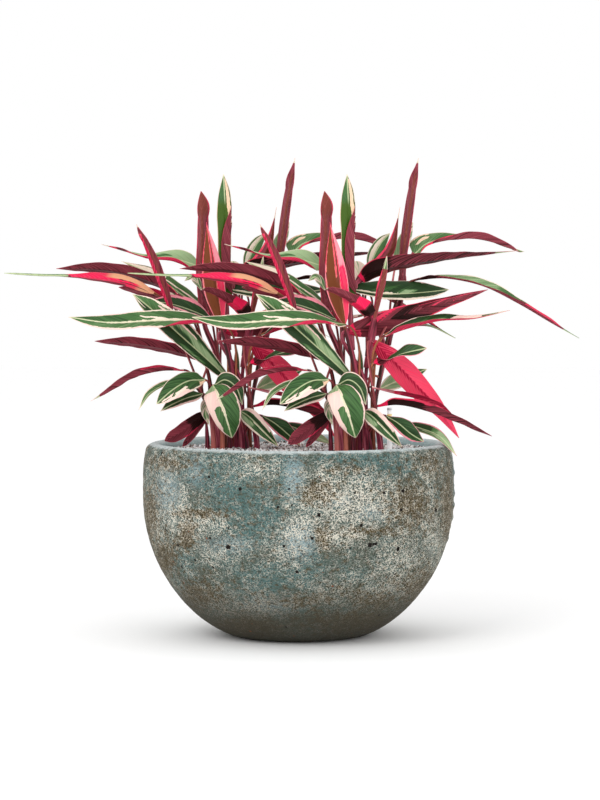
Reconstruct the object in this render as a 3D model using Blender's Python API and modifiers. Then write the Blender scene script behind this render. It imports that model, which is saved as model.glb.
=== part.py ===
"""Two stromanthe plants in one broad, round-bellied bowl.

The bowl stands on z = 0 with its axis on the origin, and the plants' front is towards -Y.
The bowl is filled with potting soil under a dressing of grit. Each plant is a clump of leafy
stems, and each stem is one closed solid: a sheathed stalk with the leaves that grow from it.
All lengths are metres unless a name says otherwise.
"""

import math
from collections import namedtuple

import bmesh
import bpy
from mathutils import Vector
from mathutils.bvhtree import BVHTree

# The bowl, from the outside profile inwards.
BOWL_HEIGHT = 0.335
BOWL_RADIUS = 0.270
FOOT_RADIUS = 0.106
WALL = 0.032
BOWL_FLOOR = 0.036
BOWL_SIDES = 36

# What fills the bowl, from the bottom up.
SEAT_GAP = 0.0003
SOIL_TOP = 0.3108
GRIT_TOP = 0.3225
FILL_GAP = 0.0010
HOLE_DEPTH = 0.286
HOLE_CLEARANCE = 0.0005

# The water gauge, a slim clear tube.
GAUGE_RADIUS = 0.0043
GAUGE_TOP = 0.396
GAUGE_COLUMN = 389.5
GAUGE_DEPTH = 0.030

# The front layout sheet is what an eye in front of the plants sees. Its columns run to the right
# and its rows run down, in steps of one size where the bowl's axis is.
SHEET_STEP = 0.001736
SHEET_CENTRE = (300.0, 400.0)
EYE = Vector((0.0026, -5.0, 0.63))
AIM = Vector((0.0026, 0.0, 0.4085))

# The two plants share one layout. The left one stands a little further back.
PLANT_COLUMN = 350.0
PLANT_SHIFTS = {"right": (0.0, -0.050), "left": (-123.5, 0.050)}
PLANT_TURN = 0.35

# Leaves and stalks.
STALK_SIDES = 6
STALK_RADIUS = 0.0044
STALK_TOP_RADIUS = 0.0030
PETIOLE_RADIUS = 0.0019
PETIOLE_NECK = 0.0014
PETIOLE_RINGS = 3
LONG_STATIONS = (0.0, 0.09, 0.25, 0.44, 0.64, 0.84, 1.0)
SHORT_STATIONS = (0.0, 0.13, 0.38, 0.70, 1.0)
LONG_BLADE = 0.125
BLADE_EDGE = 0.0009
MIDRIB_START = 0.0026
MIDRIB_END = 0.0010
TIP_WIDTH = 0.0012
SPROUT_HIGHEST = 0.85
SPROUT_STEP = 0.17

# A leaf that hangs over the grit or the rim stays this far above it.
LIFT = 0.006

# How the leaves of a stem are joined to it.
UNION_SOLVER = "EXACT"

# Leaves of one stem may touch below this section, where they join it.
FREE_RING = 2

# How far a leaf is bent towards or away from the front until it is clear of the others.
CLEAR_MARGIN = 0.0008
BEND_STEP = 0.007
BEND_STEPS = 12

COLOURS = {
    "bowl": (0.16, 0.22, 0.22, 0.85),
    "soil": (0.035, 0.022, 0.014, 0.95),
    "grit": (0.52, 0.50, 0.46, 0.9),
    "gauge": (0.62, 0.64, 0.66, 0.3),
    "green": (0.085, 0.155, 0.065, 0.45),
    "maroon": (0.20, 0.045, 0.065, 0.5),
}

# A leaf's route holds (column, row, depth in mm) from the blade's base to its tip. Its width and
# fold are the flat blade's width in mm and the degrees each half is raised. Its roll tells which
# side shows, in degrees at the base, middle and tip: 0 is the upper side to the front, 90 is the
# upper side to the sky and 180 is the underside to the front. A long tail has a high taper, and a
# rolled young leaf is widest near its tip.
Leaf = namedtuple("Leaf", "route width roll fold taper widest", defaults=(0.9, 0.38))

# A stem stands at (column, depth in mm) and rises to its top (column, row, depth in mm).
Stem = namedtuple("Stem", "base top colour leaves")

STEMS = {
    "16": Stem((381, -32), (376, 408, -34), "maroon", [
        Leaf([(374, 342, -26), (397, 364, -36), (418, 386, -44), (438, 408, -48), (459, 438, -50)],
             46, (170, 172, 172), 12, 0.75, 0.45),
        Leaf([(372, 387, -58), (394, 393, -64), (420, 399, -70), (440, 406, -74), (456, 418, -76)],
             22, (95, 112, 120), 20, 0.8),
    ]),
    "17": Stem((380, -58), (376, 425, -66), "maroon", [
        Leaf([(378, 406, -76), (400, 404.5, -84), (428, 411, -92), (460, 423, -98), (492, 436, -102)],
             36, (105, 118, 125), 26, 0.9),
    ]),
    "01": Stem((331, -16), (330, 425, -22), "maroon", [
        Leaf([(331, 413, -30), (318, 422, -42), (303, 433, -58), (288, 444, -70)],
             27, (175, 180, 180), 22),
        Leaf([(328, 421, -34), (322, 427, -38), (314, 437, -44), (306, 447, -50)],
             13, (180, 180, 180), 15),
    ]),
    "02": Stem((337, -32), (333, 402, -40), "green", [
        Leaf([(328, 380, -66), (312, 381, -80), (296, 390, -92), (280, 404, -100)],
             34, (25, 20, 10), 14, 0.7),
        Leaf([(326, 394, -52), (311, 398, -66), (297, 404, -78), (284, 411, -86)],
             30, (35, 40, 35), 16, 0.8),
        Leaf([(303, 380, -44), (286, 386, -52), (272, 395, -62), (262, 410, -72)],
             18, (55, 50, 30), 30),
        Leaf([(335, 403, -46), (330, 404, -53), (329, 413, -59), (333, 426, -62)],
             19, (0, 0, 0), 12),
    ]),
    "03": Stem((341, -8), (326, 392, -10), "maroon", [
        Leaf([(328, 361, 6), (298, 351, 0), (258, 343.5, -8), (218, 341, -14)],
             34, (130, 130, 135), 14, 0.62, 0.45),
        Leaf([(307, 370, -24), (284, 370.5, -38), (258, 377, -54), (236, 389, -68), (214, 401, -80)],
             30, (95, 120, 130), 25, 1.0),
        Leaf([(295, 315, -30), (284, 288, -38), (272, 257, -46), (260, 224, -52)],
             34, (150, 150, 155), 62, 0.9, 0.55),
    ]),
    "04": Stem((346, -36), (343, 404, -42), "green", [
        Leaf([(337, 386, -62), (341, 394, -84), (348, 413, -98), (355.5, 438, -98)],
             46, (5, 0, 0), 8, 0.62),
        Leaf([(338, 385, -56), (349, 380, -70), (360, 388, -80), (366, 405, -86)],
             30, (40, 20, 10), 10, 0.7),
    ]),
    "05": Stem((353, -28), (358, 392, -30), "green", [
        Leaf([(345, 325, -44), (312, 320, -58), (272, 321, -72), (232, 322.5, -80), (192, 317, -84)],
             44, (80, 62, 50), 22, 0.75),
        Leaf([(345, 325, -30), (338, 290, -34), (334, 255, -36), (330, 222, -36)],
             44, (180, 180, 180), 30, 1.0),
    ]),
    "06": Stem((350, 4), (352, 398, 4), "green", [
        Leaf([(353, 380, -14), (327, 356, -26), (299, 331, -32), (276, 310, -30), (256, 294, -24)],
             56, (15, 15, 20), 10, 0.85),
        Leaf([(336, 320, 2), (316, 311, -4), (294, 304, -8), (271, 301, -8)],
             38, (60, 55, 55), 18, 0.85),
    ]),
    "07": Stem((344, 15), (336, 392, 12), "maroon", [
        Leaf([(277, 293, -16), (252, 283, -24), (222, 278, -34), (194, 276, -42),
              (160, 275, -48), (127.5, 273, -52)],
             24, (150, 130, 85), 14, 1.9),
        Leaf([(301, 294, 6), (276, 282, 2), (245, 272.5, -4), (212, 268.5, -8), (179.5, 268.5, -12)],
             28, (125, 130, 135), 14, 0.75),
        Leaf([(300, 304, -4), (281, 297, -6), (261, 291, -8), (242, 287, -10)],
             26, (150, 145, 140), 20, 0.55),
    ]),
    "08": Stem((349, 31), (343, 370, 30), "maroon", [
        Leaf([(327, 318, 22), (325, 276, 24), (325.5, 234, 24), (324.5, 191, 22)],
             44, (180, 180, 178), 60, 0.62, 0.74),
        Leaf([(322, 266, 36), (298, 259, 40), (272, 258, 42), (248, 251, 42), (224.5, 244, 40)],
             36, (50, 85, 125), 24, 1.2),
        Leaf([(332, 311, 12), (306, 295, 12), (276, 275, 12), (245, 261, 14)],
             36, (50, 45, 40), 12, 0.9),
        Leaf([(325, 290, 30), (320, 281, 32), (315, 277, 34), (308, 281, 36)],
             16, (40, 30, 20), 10, 0.7),
    ]),
    "09": Stem((357, 14), (352, 350, 14), "maroon", [
        Leaf([(350, 302, 8), (348.5, 262, 10), (349, 220, 12), (347, 174, 12)],
             46, (150, 100, 35), 50, 0.7, 0.68),
        Leaf([(340, 322, 14), (329, 311, 14), (316, 303, 16), (303, 298, 18)],
             30, (165, 165, 160), 18, 0.8),
        Leaf([(351, 289, 12), (376, 289, 6), (410, 289, 2), (449, 289.5, -2)],
             48, (50, 48, 45), 16, 0.55),
    ]),
    "10": Stem((360, -12), (368, 356, -18), "maroon", [
        Leaf([(374, 318, -46), (378, 296, -52), (383, 274, -54), (387, 256, -54)],
             26, (165, 165, 150), 62, 0.9, 0.5),
        Leaf([(370, 313, -42), (357, 303, -50), (342, 294, -58), (326, 288, -64)],
             26, (150, 160, 150), 28, 0.7),
    ]),
    "11": Stem((364, 31), (367, 350, 32), "maroon", [
        Leaf([(369, 272, 20), (379, 258, 22), (389, 241, 24), (400, 207, 26)],
             38, (180, 180, 180), 45, 1.2),
        Leaf([(369, 272, 38), (374, 256, 44), (381, 243, 50), (390, 233, 54)],
             26, (0, 0, 0), 16, 0.7),
        Leaf([(366, 285, 52), (360, 276, 60), (356, 268, 66), (351, 261, 70)],
             26, (0, 0, 0), 8, 0.6),
    ]),
    "12": Stem((370, 35), (388, 345, 36), "maroon", [
        Leaf([(402, 292, 20), (404, 250, 22), (410, 208, 22), (418.5, 158, 20)],
             36, (180, 178, 175), 64, 0.85, 0.7),
        Leaf([(415, 254, 38), (428, 243, 44), (452, 238, 50), (482, 238.5, 54), (524, 251.5, 54)],
             44, (35, 65, 140), 26, 0.7),
        Leaf([(396, 264, 46), (400, 250, 54), (406, 236, 60), (413, 222, 62)],
             26, (10, 10, 10), 14, 0.7),
    ]),
    "13": Stem((372, 8), (383, 352, 8), "maroon", [
        Leaf([(361, 279, -10), (378, 270, -16), (408, 264, -20), (452, 258, -20), (518, 250.5, -16)],
             46, (150, 124, 112), 20, 0.95),
        Leaf([(420, 279, 4), (448, 278, -4), (484, 286, -14), (520, 304, -22), (552, 323, -26),
              (579, 338, -26)],
             24, (110, 75, 100), 34, 1.3),
        Leaf([(361, 380, -4), (360, 369, -8), (360, 358, -8), (360, 346, -6)],
             12, (20, 10, 0), 20, 0.8),
        Leaf([(380, 389, 20), (393, 383, 26), (410, 376, 32), (427, 369, 36)],
             30, (15, 20, 30), 14, 0.6),
    ]),
    "14": Stem((366, -30), (366, 392, -32), "green", [
        Leaf([(347, 331, -14), (368, 326, -22), (400, 316, -34), (438, 304, -46), (488, 289.5, -56)],
             44, (140, 128, 125), 16, 0.7, 0.42),
        Leaf([(408, 311, -40), (434, 305, -46), (462, 298, -52), (486, 290, -56)],
             26, (110, 105, 105), 16, 0.9),
    ]),
    "15": Stem((373, -17), (372, 384, -24), "green", [
        Leaf([(385, 336, -40), (408, 328, -46), (440, 320.5, -52), (474, 318.5, -56), (510, 310, -58)],
             34, (95, 88, 80), 30, 1.1),
        Leaf([(375, 363, -62), (386, 361, -74), (402, 354, -84), (427, 348, -92)],
             34, (150, 90, 25), 16, 0.6),
        Leaf([(392, 331, -22), (414, 326, -22), (432, 327, -22), (455, 338, -22)],
             14, (80, 80, 60), 20, 1.4),
    ]),
    "18": Stem((370, -46), (367, 428, -48), "green", [
        Leaf([(364, 411, -58), (373, 417, -74), (387, 431, -86), (402, 447, -90)],
             30, (5, 5, 5), 12, 0.7),
        Leaf([(386, 416, -58), (399, 424, -68), (411, 434, -76), (424, 447, -82)],
             25, (40, 25, 15), 24, 0.75),
        Leaf([(404, 424, -44), (422, 429, -58), (440, 437, -70), (457, 456, -80)],
             32, (62, 55, 40), 12, 0.9),
    ]),
}


def make_material(name, colour, metallic=0.0):
    """A plain Principled material."""
    red, green, blue, roughness = colour
    material = bpy.data.materials.new(name)
    material.use_nodes = True
    shader = material.node_tree.nodes["Principled BSDF"]
    shader.inputs["Base Color"].default_value = (red, green, blue, 1.0)
    shader.inputs["Roughness"].default_value = roughness
    shader.inputs["Metallic"].default_value = metallic
    return material


def make_object(name, bm, collection, colour=None):
    """Turn a bmesh into an object with outward faces."""
    bmesh.ops.recalc_face_normals(bm, faces=bm.faces)
    mesh = bpy.data.meshes.new(name)
    bm.to_mesh(mesh)
    bm.free()
    piece = bpy.data.objects.new(name, mesh)
    collection.objects.link(piece)
    if colour:
        mesh.materials.append(make_material(name, COLOURS[colour]))
    return piece


def bake_modifiers(piece):
    """Replace an object's mesh with what its modifiers make of it."""
    graph = bpy.context.evaluated_depsgraph_get()
    baked = bpy.data.meshes.new_from_object(piece.evaluated_get(graph))
    piece.modifiers.clear()
    piece.data = baked


def turned_object(name, profile, sides, collection, colour):
    """Turn a profile of (radius, height) points, given from top to bottom on its outer side."""
    bm = bmesh.new()
    points = [bm.verts.new((radius, 0.0, height)) for radius, height in profile]
    for first, second in zip(points, points[1:]):
        bm.edges.new((first, second))
    mesh = bpy.data.meshes.new(name)
    bm.to_mesh(mesh)
    bm.free()
    mesh.materials.append(make_material(name, COLOURS[colour]))
    piece = bpy.data.objects.new(name, mesh)
    collection.objects.link(piece)
    screw = piece.modifiers.new("turn", "SCREW")
    screw.steps = sides
    screw.render_steps = sides
    screw.use_merge_vertices = True
    screw.merge_threshold = 0.00005
    screw.use_smooth_shade = True
    return piece


def outer_radius(height):
    """The bowl's outer radius: a round belly that draws in a little towards the rim."""
    waist = 0.250
    if height >= waist:
        rise = (height - waist) / (BOWL_HEIGHT - waist)
        return BOWL_RADIUS - 0.0085 * rise ** 3.2
    drop = (waist - height) / waist
    return FOOT_RADIUS + (BOWL_RADIUS - FOOT_RADIUS) * (1.0 - drop ** 2.1) ** 0.67


def bowl_profile():
    """The bowl's section: from the middle of its floor up the inside, over the rim and down."""
    rim = WALL / 2.0
    roll_height = 0.014
    rim_middle = outer_radius(BOWL_HEIGHT - roll_height) - rim
    profile = [(0.0, BOWL_FLOOR)]
    for height in (0.040, 0.056, 0.14, 0.29):
        profile.append((inner_radius(height), height))
    for degrees in (180, 140, 110, 75, 45, 0):
        angle = math.radians(degrees)
        profile.append((rim_middle + rim * math.cos(angle),
                        BOWL_HEIGHT - roll_height + roll_height * math.sin(angle)))
    for height in (0.295, 0.25, 0.20, 0.16, 0.12, 0.085, 0.054, 0.028, 0.010):
        profile.append((outer_radius(height), height))
    return profile + [(FOOT_RADIUS + 0.002, 0.0), (0.0, 0.0)]


def rim_inside():
    """The radius of the opening, where the inside wall meets the rolled rim."""
    return outer_radius(BOWL_HEIGHT - 0.014) - WALL


def inner_radius(height):
    """The radius of the bowl's inside, one wall in from its outside."""
    if height < 0.0565:
        return 0.095 + (inner_radius(0.0566) - 0.095) * ((height - 0.040) / 0.0166) ** 0.5
    return outer_radius(height - 0.012) - WALL


def sheet_point(column, row, depth):
    """The world point that is seen at a place of the front sheet, at a given depth."""
    forward = (AIM - EYE).normalized()
    right = Vector((1.0, 0.0, 0.0))
    step = SHEET_STEP / (AIM - EYE).length
    ray = (forward + right * (column - SHEET_CENTRE[0]) * step
           + right.cross(forward) * (SHEET_CENTRE[1] - row) * step)
    return EYE + ray * ((depth - EYE.y) / ray.y)


def plant_point(side, column, row, depth_mm, bend=0.0):
    """A point of one plant, whose right side is turned a little away from the front."""
    shift, setback = PLANT_SHIFTS[side]
    turn = PLANT_TURN * (column - PLANT_COLUMN) * SHEET_STEP
    return sheet_point(column + shift, row, setback + turn + depth_mm * 0.001 + bend)


def stem_base(side, stem):
    """Where a stem stands, at the top of the grit."""
    column, depth_mm = stem.base
    spot = plant_point(side, column, 449.0, depth_mm)
    return Vector((spot.x, spot.y, GRIT_TOP))


def bezier(points, amount):
    """A point on a cubic curve through its four handles."""
    a, b, c, d = points
    rest = 1.0 - amount
    return (a * rest ** 3 + b * 3.0 * rest ** 2 * amount
            + c * 3.0 * rest * amount ** 2 + d * amount ** 3)


def spline_point(points, amount):
    """A point on a smooth curve that passes through all its points."""
    count = len(points) - 1
    place = min(max(amount, 0.0), 1.0) * count
    index = min(int(place), count - 1)
    local = place - index
    start = points[index]
    end = points[index + 1]
    before = points[index - 1] if index > 0 else start * 2.0 - end
    after = points[index + 2] if index + 2 <= count else end * 2.0 - start
    return 0.5 * (start * 2.0 + (end - before) * local
                  + (before * 2.0 - start * 5.0 + end * 4.0 - after) * local ** 2
                  + (start * 3.0 - before - end * 3.0 + after) * local ** 3)


def stem_handles(side, stem):
    """The curve of a stem, from the top of the grit to its own top."""
    foot = stem_base(side, stem)
    top = plant_point(side, *stem.top)
    rise = (top.z - foot.z) * 0.45
    lean = (top - foot) * 0.25
    return (foot, foot + Vector((0.0, 0.0, rise)), top - Vector((lean.x, lean.y, rise * 0.6)), top)


def lifted(point):
    """Keep a point above the grit, or above the rim where it is over that."""
    radius = math.hypot(point.x, point.y)
    floor = point.z
    if radius < BOWL_RADIUS - WALL - 0.012:
        floor = GRIT_TOP + LIFT
    elif radius < BOWL_RADIUS + 0.002:
        floor = BOWL_HEIGHT + LIFT
    return Vector((point.x, point.y, max(point.z, floor)))


def blade_shape(amount, leaf):
    """A blade's width along its length, as a share of its widest."""
    if amount < leaf.widest:
        return math.sin(math.pi / 2.0 * (amount / leaf.widest) ** 0.8) ** (0.38 / leaf.widest)
    rest = (amount - leaf.widest) / (1.0 - leaf.widest)
    return max(math.cos(math.pi / 2.0 * rest), 0.0) ** leaf.taper


def blend(values, amount):
    """A value that runs through three settings at the base, middle and tip."""
    if amount < 0.5:
        share = amount * 2.0
        first, second = values[0], values[1]
    else:
        share = amount * 2.0 - 1.0
        first, second = values[1], values[2]
    share = share * share * (3.0 - 2.0 * share)
    return first + (second - first) * share


def leaf_line(side, stem, index, leaf, bends):
    """The leaf's middle line as (point, blade share) pairs. The share is below 0 on the petiole.

    The stem's first leaf carries the stem on from its top, and the others leave it at its side.
    """
    bow, swing = bends
    count = len(leaf.route) - 1
    route = [lifted(plant_point(side, column, row, depth_mm, bow + swing * (step / count) ** 1.2))
             for step, (column, row, depth_mm) in enumerate(leaf.route)]
    handles = stem_handles(side, stem)
    sprout = SPROUT_HIGHEST - SPROUT_STEP * (index - 1) if index else 1.0
    start = bezier(handles, sprout)
    up = (bezier(handles, sprout) - bezier(handles, sprout - 0.05)).normalized()
    if index:
        up = (up + (route[0] - start).normalized() * 0.7).normalized()
    leave = (spline_point(route, 0.04) - route[0]).normalized()
    span = (route[0] - start).length
    ends = (start, start + up * span * 0.45, route[0] - leave * min(span * 0.30, 0.05), route[0])
    line = [(bezier(ends, step / PETIOLE_RINGS), step / PETIOLE_RINGS - 1.0)
            for step in range(PETIOLE_RINGS)]
    reach = (route[-1] - route[0]).length
    stations = LONG_STATIONS if reach > LONG_BLADE else SHORT_STATIONS
    return line + [(spline_point(route, station), station) for station in stations]


def line_frame(points, place, roll, lean):
    """The direction, upper normal and sideways direction of a line at one of its points."""
    before = points[max(place - 1, 0)]
    after = points[min(place + 1, len(points) - 1)]
    along = (after - before).normalized()
    front = Vector((0.0, -1.0, 0.0))
    facing = (front - along * front.dot(along)).normalized()
    sideways = along.cross(facing) * lean
    normal = facing * math.cos(roll) + sideways * math.sin(roll)
    return normal, along.cross(normal)


def leaf_rings(leaf, line, margin=0.0):
    """Six-pointed sections along a leaf, from its root in the stem to its tip."""
    points = [point for point, _ in line]
    first = points[PETIOLE_RINGS]
    reach = points[-1] - first
    along = reach.normalized()
    sideways = along.cross(Vector((0.0, -1.0, 0.0)))
    upright = abs(reach.z) > abs(reach.x) * 1.2
    lean = math.copysign(1.0, sideways.x if upright else sideways.z)
    rings = []
    for place, (point, share) in enumerate(line):
        roll = math.radians(blend(leaf.roll, max(share, 0.0)))
        normal, across = line_frame(points, place, roll, lean)
        if share < 0.0:
            radius = PETIOLE_RADIUS + (PETIOLE_NECK - PETIOLE_RADIUS) * (share + 1.0) + margin
            ring = []
            for degrees in (150.0, 90.0, 30.0, -30.0, -90.0, -150.0):
                angle = math.radians(degrees)
                ring.append(point + across * radius * math.cos(angle)
                            + normal * radius * math.sin(angle))
            rings.append(ring)
            continue
        half = leaf.width * 0.0005 * blade_shape(share, leaf)
        half = max(half, PETIOLE_NECK + (TIP_WIDTH / 2.0 - PETIOLE_NECK) * share) + margin
        fold = math.radians(leaf.fold) * min(1.0, share * 6.0 + 0.15, (1.0 - share) * 5.0)
        edge = BLADE_EDGE / 2.0 + margin
        middle = (MIDRIB_START + (MIDRIB_END - MIDRIB_START) * share ** 0.5) / 2.0 + margin
        rise = normal * middle / math.cos(fold)
        left = point + (normal * math.sin(fold) - across * math.cos(fold)) * half
        right = point + (normal * math.sin(fold) + across * math.cos(fold)) * half
        left_lift = (normal * math.cos(fold) + across * math.sin(fold)) * edge
        right_lift = (normal * math.cos(fold) - across * math.sin(fold)) * edge
        rings.append([left + left_lift, point + rise, right + right_lift,
                      right - right_lift, point - rise, left - left_lift])
    return rings


def loft_faces(bm, rings):
    """Join sections into one closed skin, with the same diagonal on both faces of a blade."""
    rows = [[bm.verts.new(corner) for corner in ring] for ring in rings]
    count = len(rings[0])
    for lower, upper in zip(rows, rows[1:]):
        for side in range(count):
            after = (side + 1) % count
            quad = (lower[side], lower[after], upper[after], upper[side])
            if side in (0, 3):
                bm.faces.new((quad[0], quad[1], quad[2]))
                bm.faces.new((quad[0], quad[2], quad[3]))
            else:
                bm.faces.new((quad[0], quad[1], quad[3]))
                bm.faces.new((quad[1], quad[2], quad[3]))
    for row in (rows[0], rows[-1]):
        for side in range(1, count - 1):
            bm.faces.new((row[0], row[side], row[side + 1]))


def rings_tree(rings):
    """A search tree of the skin that joins the sections."""
    count = len(rings[0])
    corners = [corner for ring in rings for corner in ring]
    faces = []
    for level in range(len(rings) - 1):
        for side in range(count):
            after = (side + 1) % count
            base = level * count
            faces.append((base + side, base + after, base + count + after, base + count + side))
    return BVHTree.FromPolygons(corners, faces)


def stem_rings(side, stem):
    """Sections of a stem, from the bottom of its hole up to just below its top."""
    handles = stem_handles(side, stem)
    foot = handles[0]
    levels = [(Vector((foot.x, foot.y, HOLE_DEPTH + 0.0004)), STALK_RADIUS)]
    levels.append((foot + Vector((0.0, 0.0, 0.003)), STALK_RADIUS))
    for amount in (0.6,):
        radius = STALK_RADIUS + (STALK_TOP_RADIUS - STALK_RADIUS) * amount
        levels.append((bezier(handles, amount), radius))
    rings = []
    for point, radius in levels:
        ring = []
        for step in range(STALK_SIDES):
            angle = math.radians(150.0 - 60.0 * step)
            ring.append(point + Vector((math.cos(angle), -math.sin(angle), 0.0)) * radius)
        rings.append(ring)
    return rings


def bend_choices():
    """Bends to try, the slightest first: (bow of the whole blade, swing of its tip)."""
    choices = []
    for bow in range(-BEND_STEPS, BEND_STEPS + 1):
        for swing in range(-BEND_STEPS, BEND_STEPS + 1):
            cost = abs(bow) * 1.2 + abs(swing) + (0.1 if bow < 0 else 0.0)
            choices.append((cost, bow * BEND_STEP, swing * BEND_STEP * 1.5))
    choices.sort()
    return [(bow, swing) for _, bow, swing in choices]


def lay_out_leaves(obstacles):
    """Bend each leaf, in the order of the table, until it clears all that is already there."""
    choices = bend_choices()
    stalks = {}
    for side in PLANT_SHIFTS:
        for key, stem in STEMS.items():
            stalks[side, key] = rings_tree(stem_rings(side, stem))
    placed = []
    layout = {}
    for side in PLANT_SHIFTS:
        for key, stem in STEMS.items():
            rings_here = []
            for index, leaf in enumerate(stem.leaves):
                rings = bend_clear(side, key, index, leaf, choices, stalks, placed, obstacles)
                rings_here.append(rings)
                blade = rings_tree(rings[FREE_RING:])
                placed.append(((side, key), rings_tree(rings), blade))
            layout[side, key] = rings_here
    return layout


def bend_clear(side, key, index, leaf, choices, stalks, placed, obstacles):
    """The sections of one leaf, with the slightest bend that keeps it clear."""
    stem = STEMS[key]
    for bends in choices:
        line = leaf_line(side, stem, index, leaf, bends)
        guard = leaf_rings(leaf, line, CLEAR_MARGIN)
        whole = rings_tree(guard)
        blade = rings_tree(guard[FREE_RING:])
        if any(whole.overlap(tree) for tree in obstacles):
            continue
        if any(whole.overlap(tree) for owner, tree in stalks.items() if owner != (side, key)):
            continue
        clash = False
        for owner, tree, other_blade in placed:
            if owner != (side, key):
                clash = bool(whole.overlap(tree))
            else:
                clash = bool(blade.overlap(other_blade))
            if clash:
                break
        if not clash:
            return leaf_rings(leaf, line)
    raise RuntimeError(f"leaf {index} of {side} stem {key} finds no clear way")


def aligned(rings, target):
    """Start every section at the corner that faces the target's first corner."""
    count = len(target)
    last = rings[-1]

    def twist(shift):
        return sum((last[(step + shift) % count] - target[step]).length for step in range(count))

    best = min(range(count), key=twist)
    return [[ring[(step + best) % count] for step in range(count)] for ring in rings]


def build_stem(side, key, leaf_sections, collection):
    """Fuse a stem with its leaves into one solid."""
    stem = STEMS[key]
    name = f"{side}_stem_{key}"
    bm = bmesh.new()
    loft_faces(bm, aligned(stem_rings(side, stem), leaf_sections[0][0]) + leaf_sections[0])
    piece = make_object(name, bm, collection, stem.colour)
    leaves = bpy.data.collections.new(f"{name}_leaves")
    bpy.context.scene.collection.children.link(leaves)
    for rings in leaf_sections[1:]:
        leaf_bm = bmesh.new()
        loft_faces(leaf_bm, rings)
        make_object(f"{name}_leaf", leaf_bm, leaves)
    union = piece.modifiers.new("join_leaves", "BOOLEAN")
    union.operation = "UNION"
    union.operand_type = "COLLECTION"
    union.collection = leaves
    union.solver = UNION_SOLVER
    bake_modifiers(piece)
    for leaf in list(leaves.objects):
        bpy.data.objects.remove(leaf)
    bpy.data.collections.remove(leaves)
    return piece


def add_plug(bm, spot, sides, radius, bottom, top):
    """An upright prism round a spot, wider than what stands there by the clearance."""
    reach = radius + HOLE_CLEARANCE
    made = bmesh.ops.create_cone(bm, cap_ends=True, segments=sides, radius1=reach,
                                 radius2=reach, depth=top - bottom)
    bmesh.ops.translate(bm, verts=made["verts"], vec=(spot.x, spot.y, (top + bottom) / 2.0))


def hole_cutters(name, collection, bottom, top):
    """Upright plugs a little wider than the stems and the gauge, joined in one object."""
    bm = bmesh.new()
    for side in PLANT_SHIFTS:
        for stem in STEMS.values():
            foot = stem_base(side, stem)
            add_plug(bm, foot, STALK_SIDES, STALK_RADIUS, bottom, top)
    add_plug(bm, gauge_spot(), 8, GAUGE_RADIUS, bottom, top)
    cutter = make_object(name, bm, collection)
    cutter.hide_render = True
    cutter.display_type = "WIRE"
    return cutter


def gauge_spot():
    """Where the gauge stands in the grit."""
    shift, setback = PLANT_SHIFTS["right"]
    return sheet_point(GAUGE_COLUMN + shift, 449.0, setback + GAUGE_DEPTH)


def cut_holes(piece, cutter):
    """Cut the stems' holes out of a filling."""
    cut = piece.modifiers.new("holes", "BOOLEAN")
    cut.operation = "DIFFERENCE"
    cut.object = cutter
    cut.solver = "EXACT"


def stacked_disc(name, levels, collection, colour):
    """A round filling made of level outlines of (radius, height), from the bottom up."""
    bm = bmesh.new()
    rows = []
    for radius, height in levels:
        row = []
        for step in range(BOWL_SIDES):
            angle = 2.0 * math.pi * step / BOWL_SIDES
            row.append(bm.verts.new((radius * math.cos(angle), radius * math.sin(angle), height)))
        rows.append(row)
    for lower, upper in zip(rows, rows[1:]):
        for step in range(BOWL_SIDES):
            after = (step + 1) % BOWL_SIDES
            bm.faces.new((lower[step], lower[after], upper[after], upper[step]))
    bm.faces.new(rows[0])
    bm.faces.new(rows[-1])
    return make_object(name, bm, collection, colour)


def build_soil(collection):
    """The soil fills the bowl up to just under the grit."""
    levels = [(0.0940, BOWL_FLOOR + 0.0043)]
    for height in (0.056, 0.14, 0.29):
        levels.append((inner_radius(height) - FILL_GAP, height))
    levels.append((rim_inside() - FILL_GAP, SOIL_TOP))
    return stacked_disc("potting_soil", levels, collection, "soil")


def build_grit(collection):
    """A level layer of pale grit that lies on the soil."""
    edge = rim_inside() - FILL_GAP
    levels = [(edge, SOIL_TOP + SEAT_GAP), (edge, GRIT_TOP)]
    return stacked_disc("grit_top", levels, collection, "grit")


def build_gauge(collection):
    """The gauge stands upright through the grit, with its foot in the soil."""
    spot = gauge_spot()
    bottom = HOLE_DEPTH + 0.0004
    bm = bmesh.new()
    bmesh.ops.create_cone(bm, cap_ends=True, segments=12, radius1=GAUGE_RADIUS,
                          radius2=GAUGE_RADIUS, depth=GAUGE_TOP - bottom)
    bmesh.ops.translate(bm, verts=bm.verts, vec=(spot.x, spot.y, (GAUGE_TOP + bottom) / 2.0))
    return make_object("water_gauge", bm, collection, "gauge")


def evaluated_tree(piece):
    """A search tree of an object as its modifiers make it."""
    graph = bpy.context.evaluated_depsgraph_get()
    return BVHTree.FromObject(piece, graph)


def main():
    """Build the whole potted pair."""
    for old in list(bpy.data.objects):
        bpy.data.objects.remove(old)
    planter = bpy.data.collections.new("potted_stromanthe")
    cutters = bpy.data.collections.new("cutters")
    bpy.context.scene.collection.children.link(planter)
    bpy.context.scene.collection.children.link(cutters)
    bowl = turned_object("bowl", bowl_profile(), BOWL_SIDES, planter, "bowl")
    soil = build_soil(planter)
    grit = build_grit(planter)
    gauge = build_gauge(planter)
    bpy.context.view_layer.update()
    obstacles = [evaluated_tree(piece) for piece in (bowl, grit, gauge)]
    layout = lay_out_leaves(obstacles)
    for (side, key), leaf_sections in layout.items():
        build_stem(side, key, leaf_sections, planter)
    cut_holes(grit, hole_cutters("grit_holes", cutters, SOIL_TOP - 0.01, GRIT_TOP + 0.02))
    cut_holes(soil, hole_cutters("soil_holes", cutters, HOLE_DEPTH, SOIL_TOP + 0.02))


main()
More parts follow.
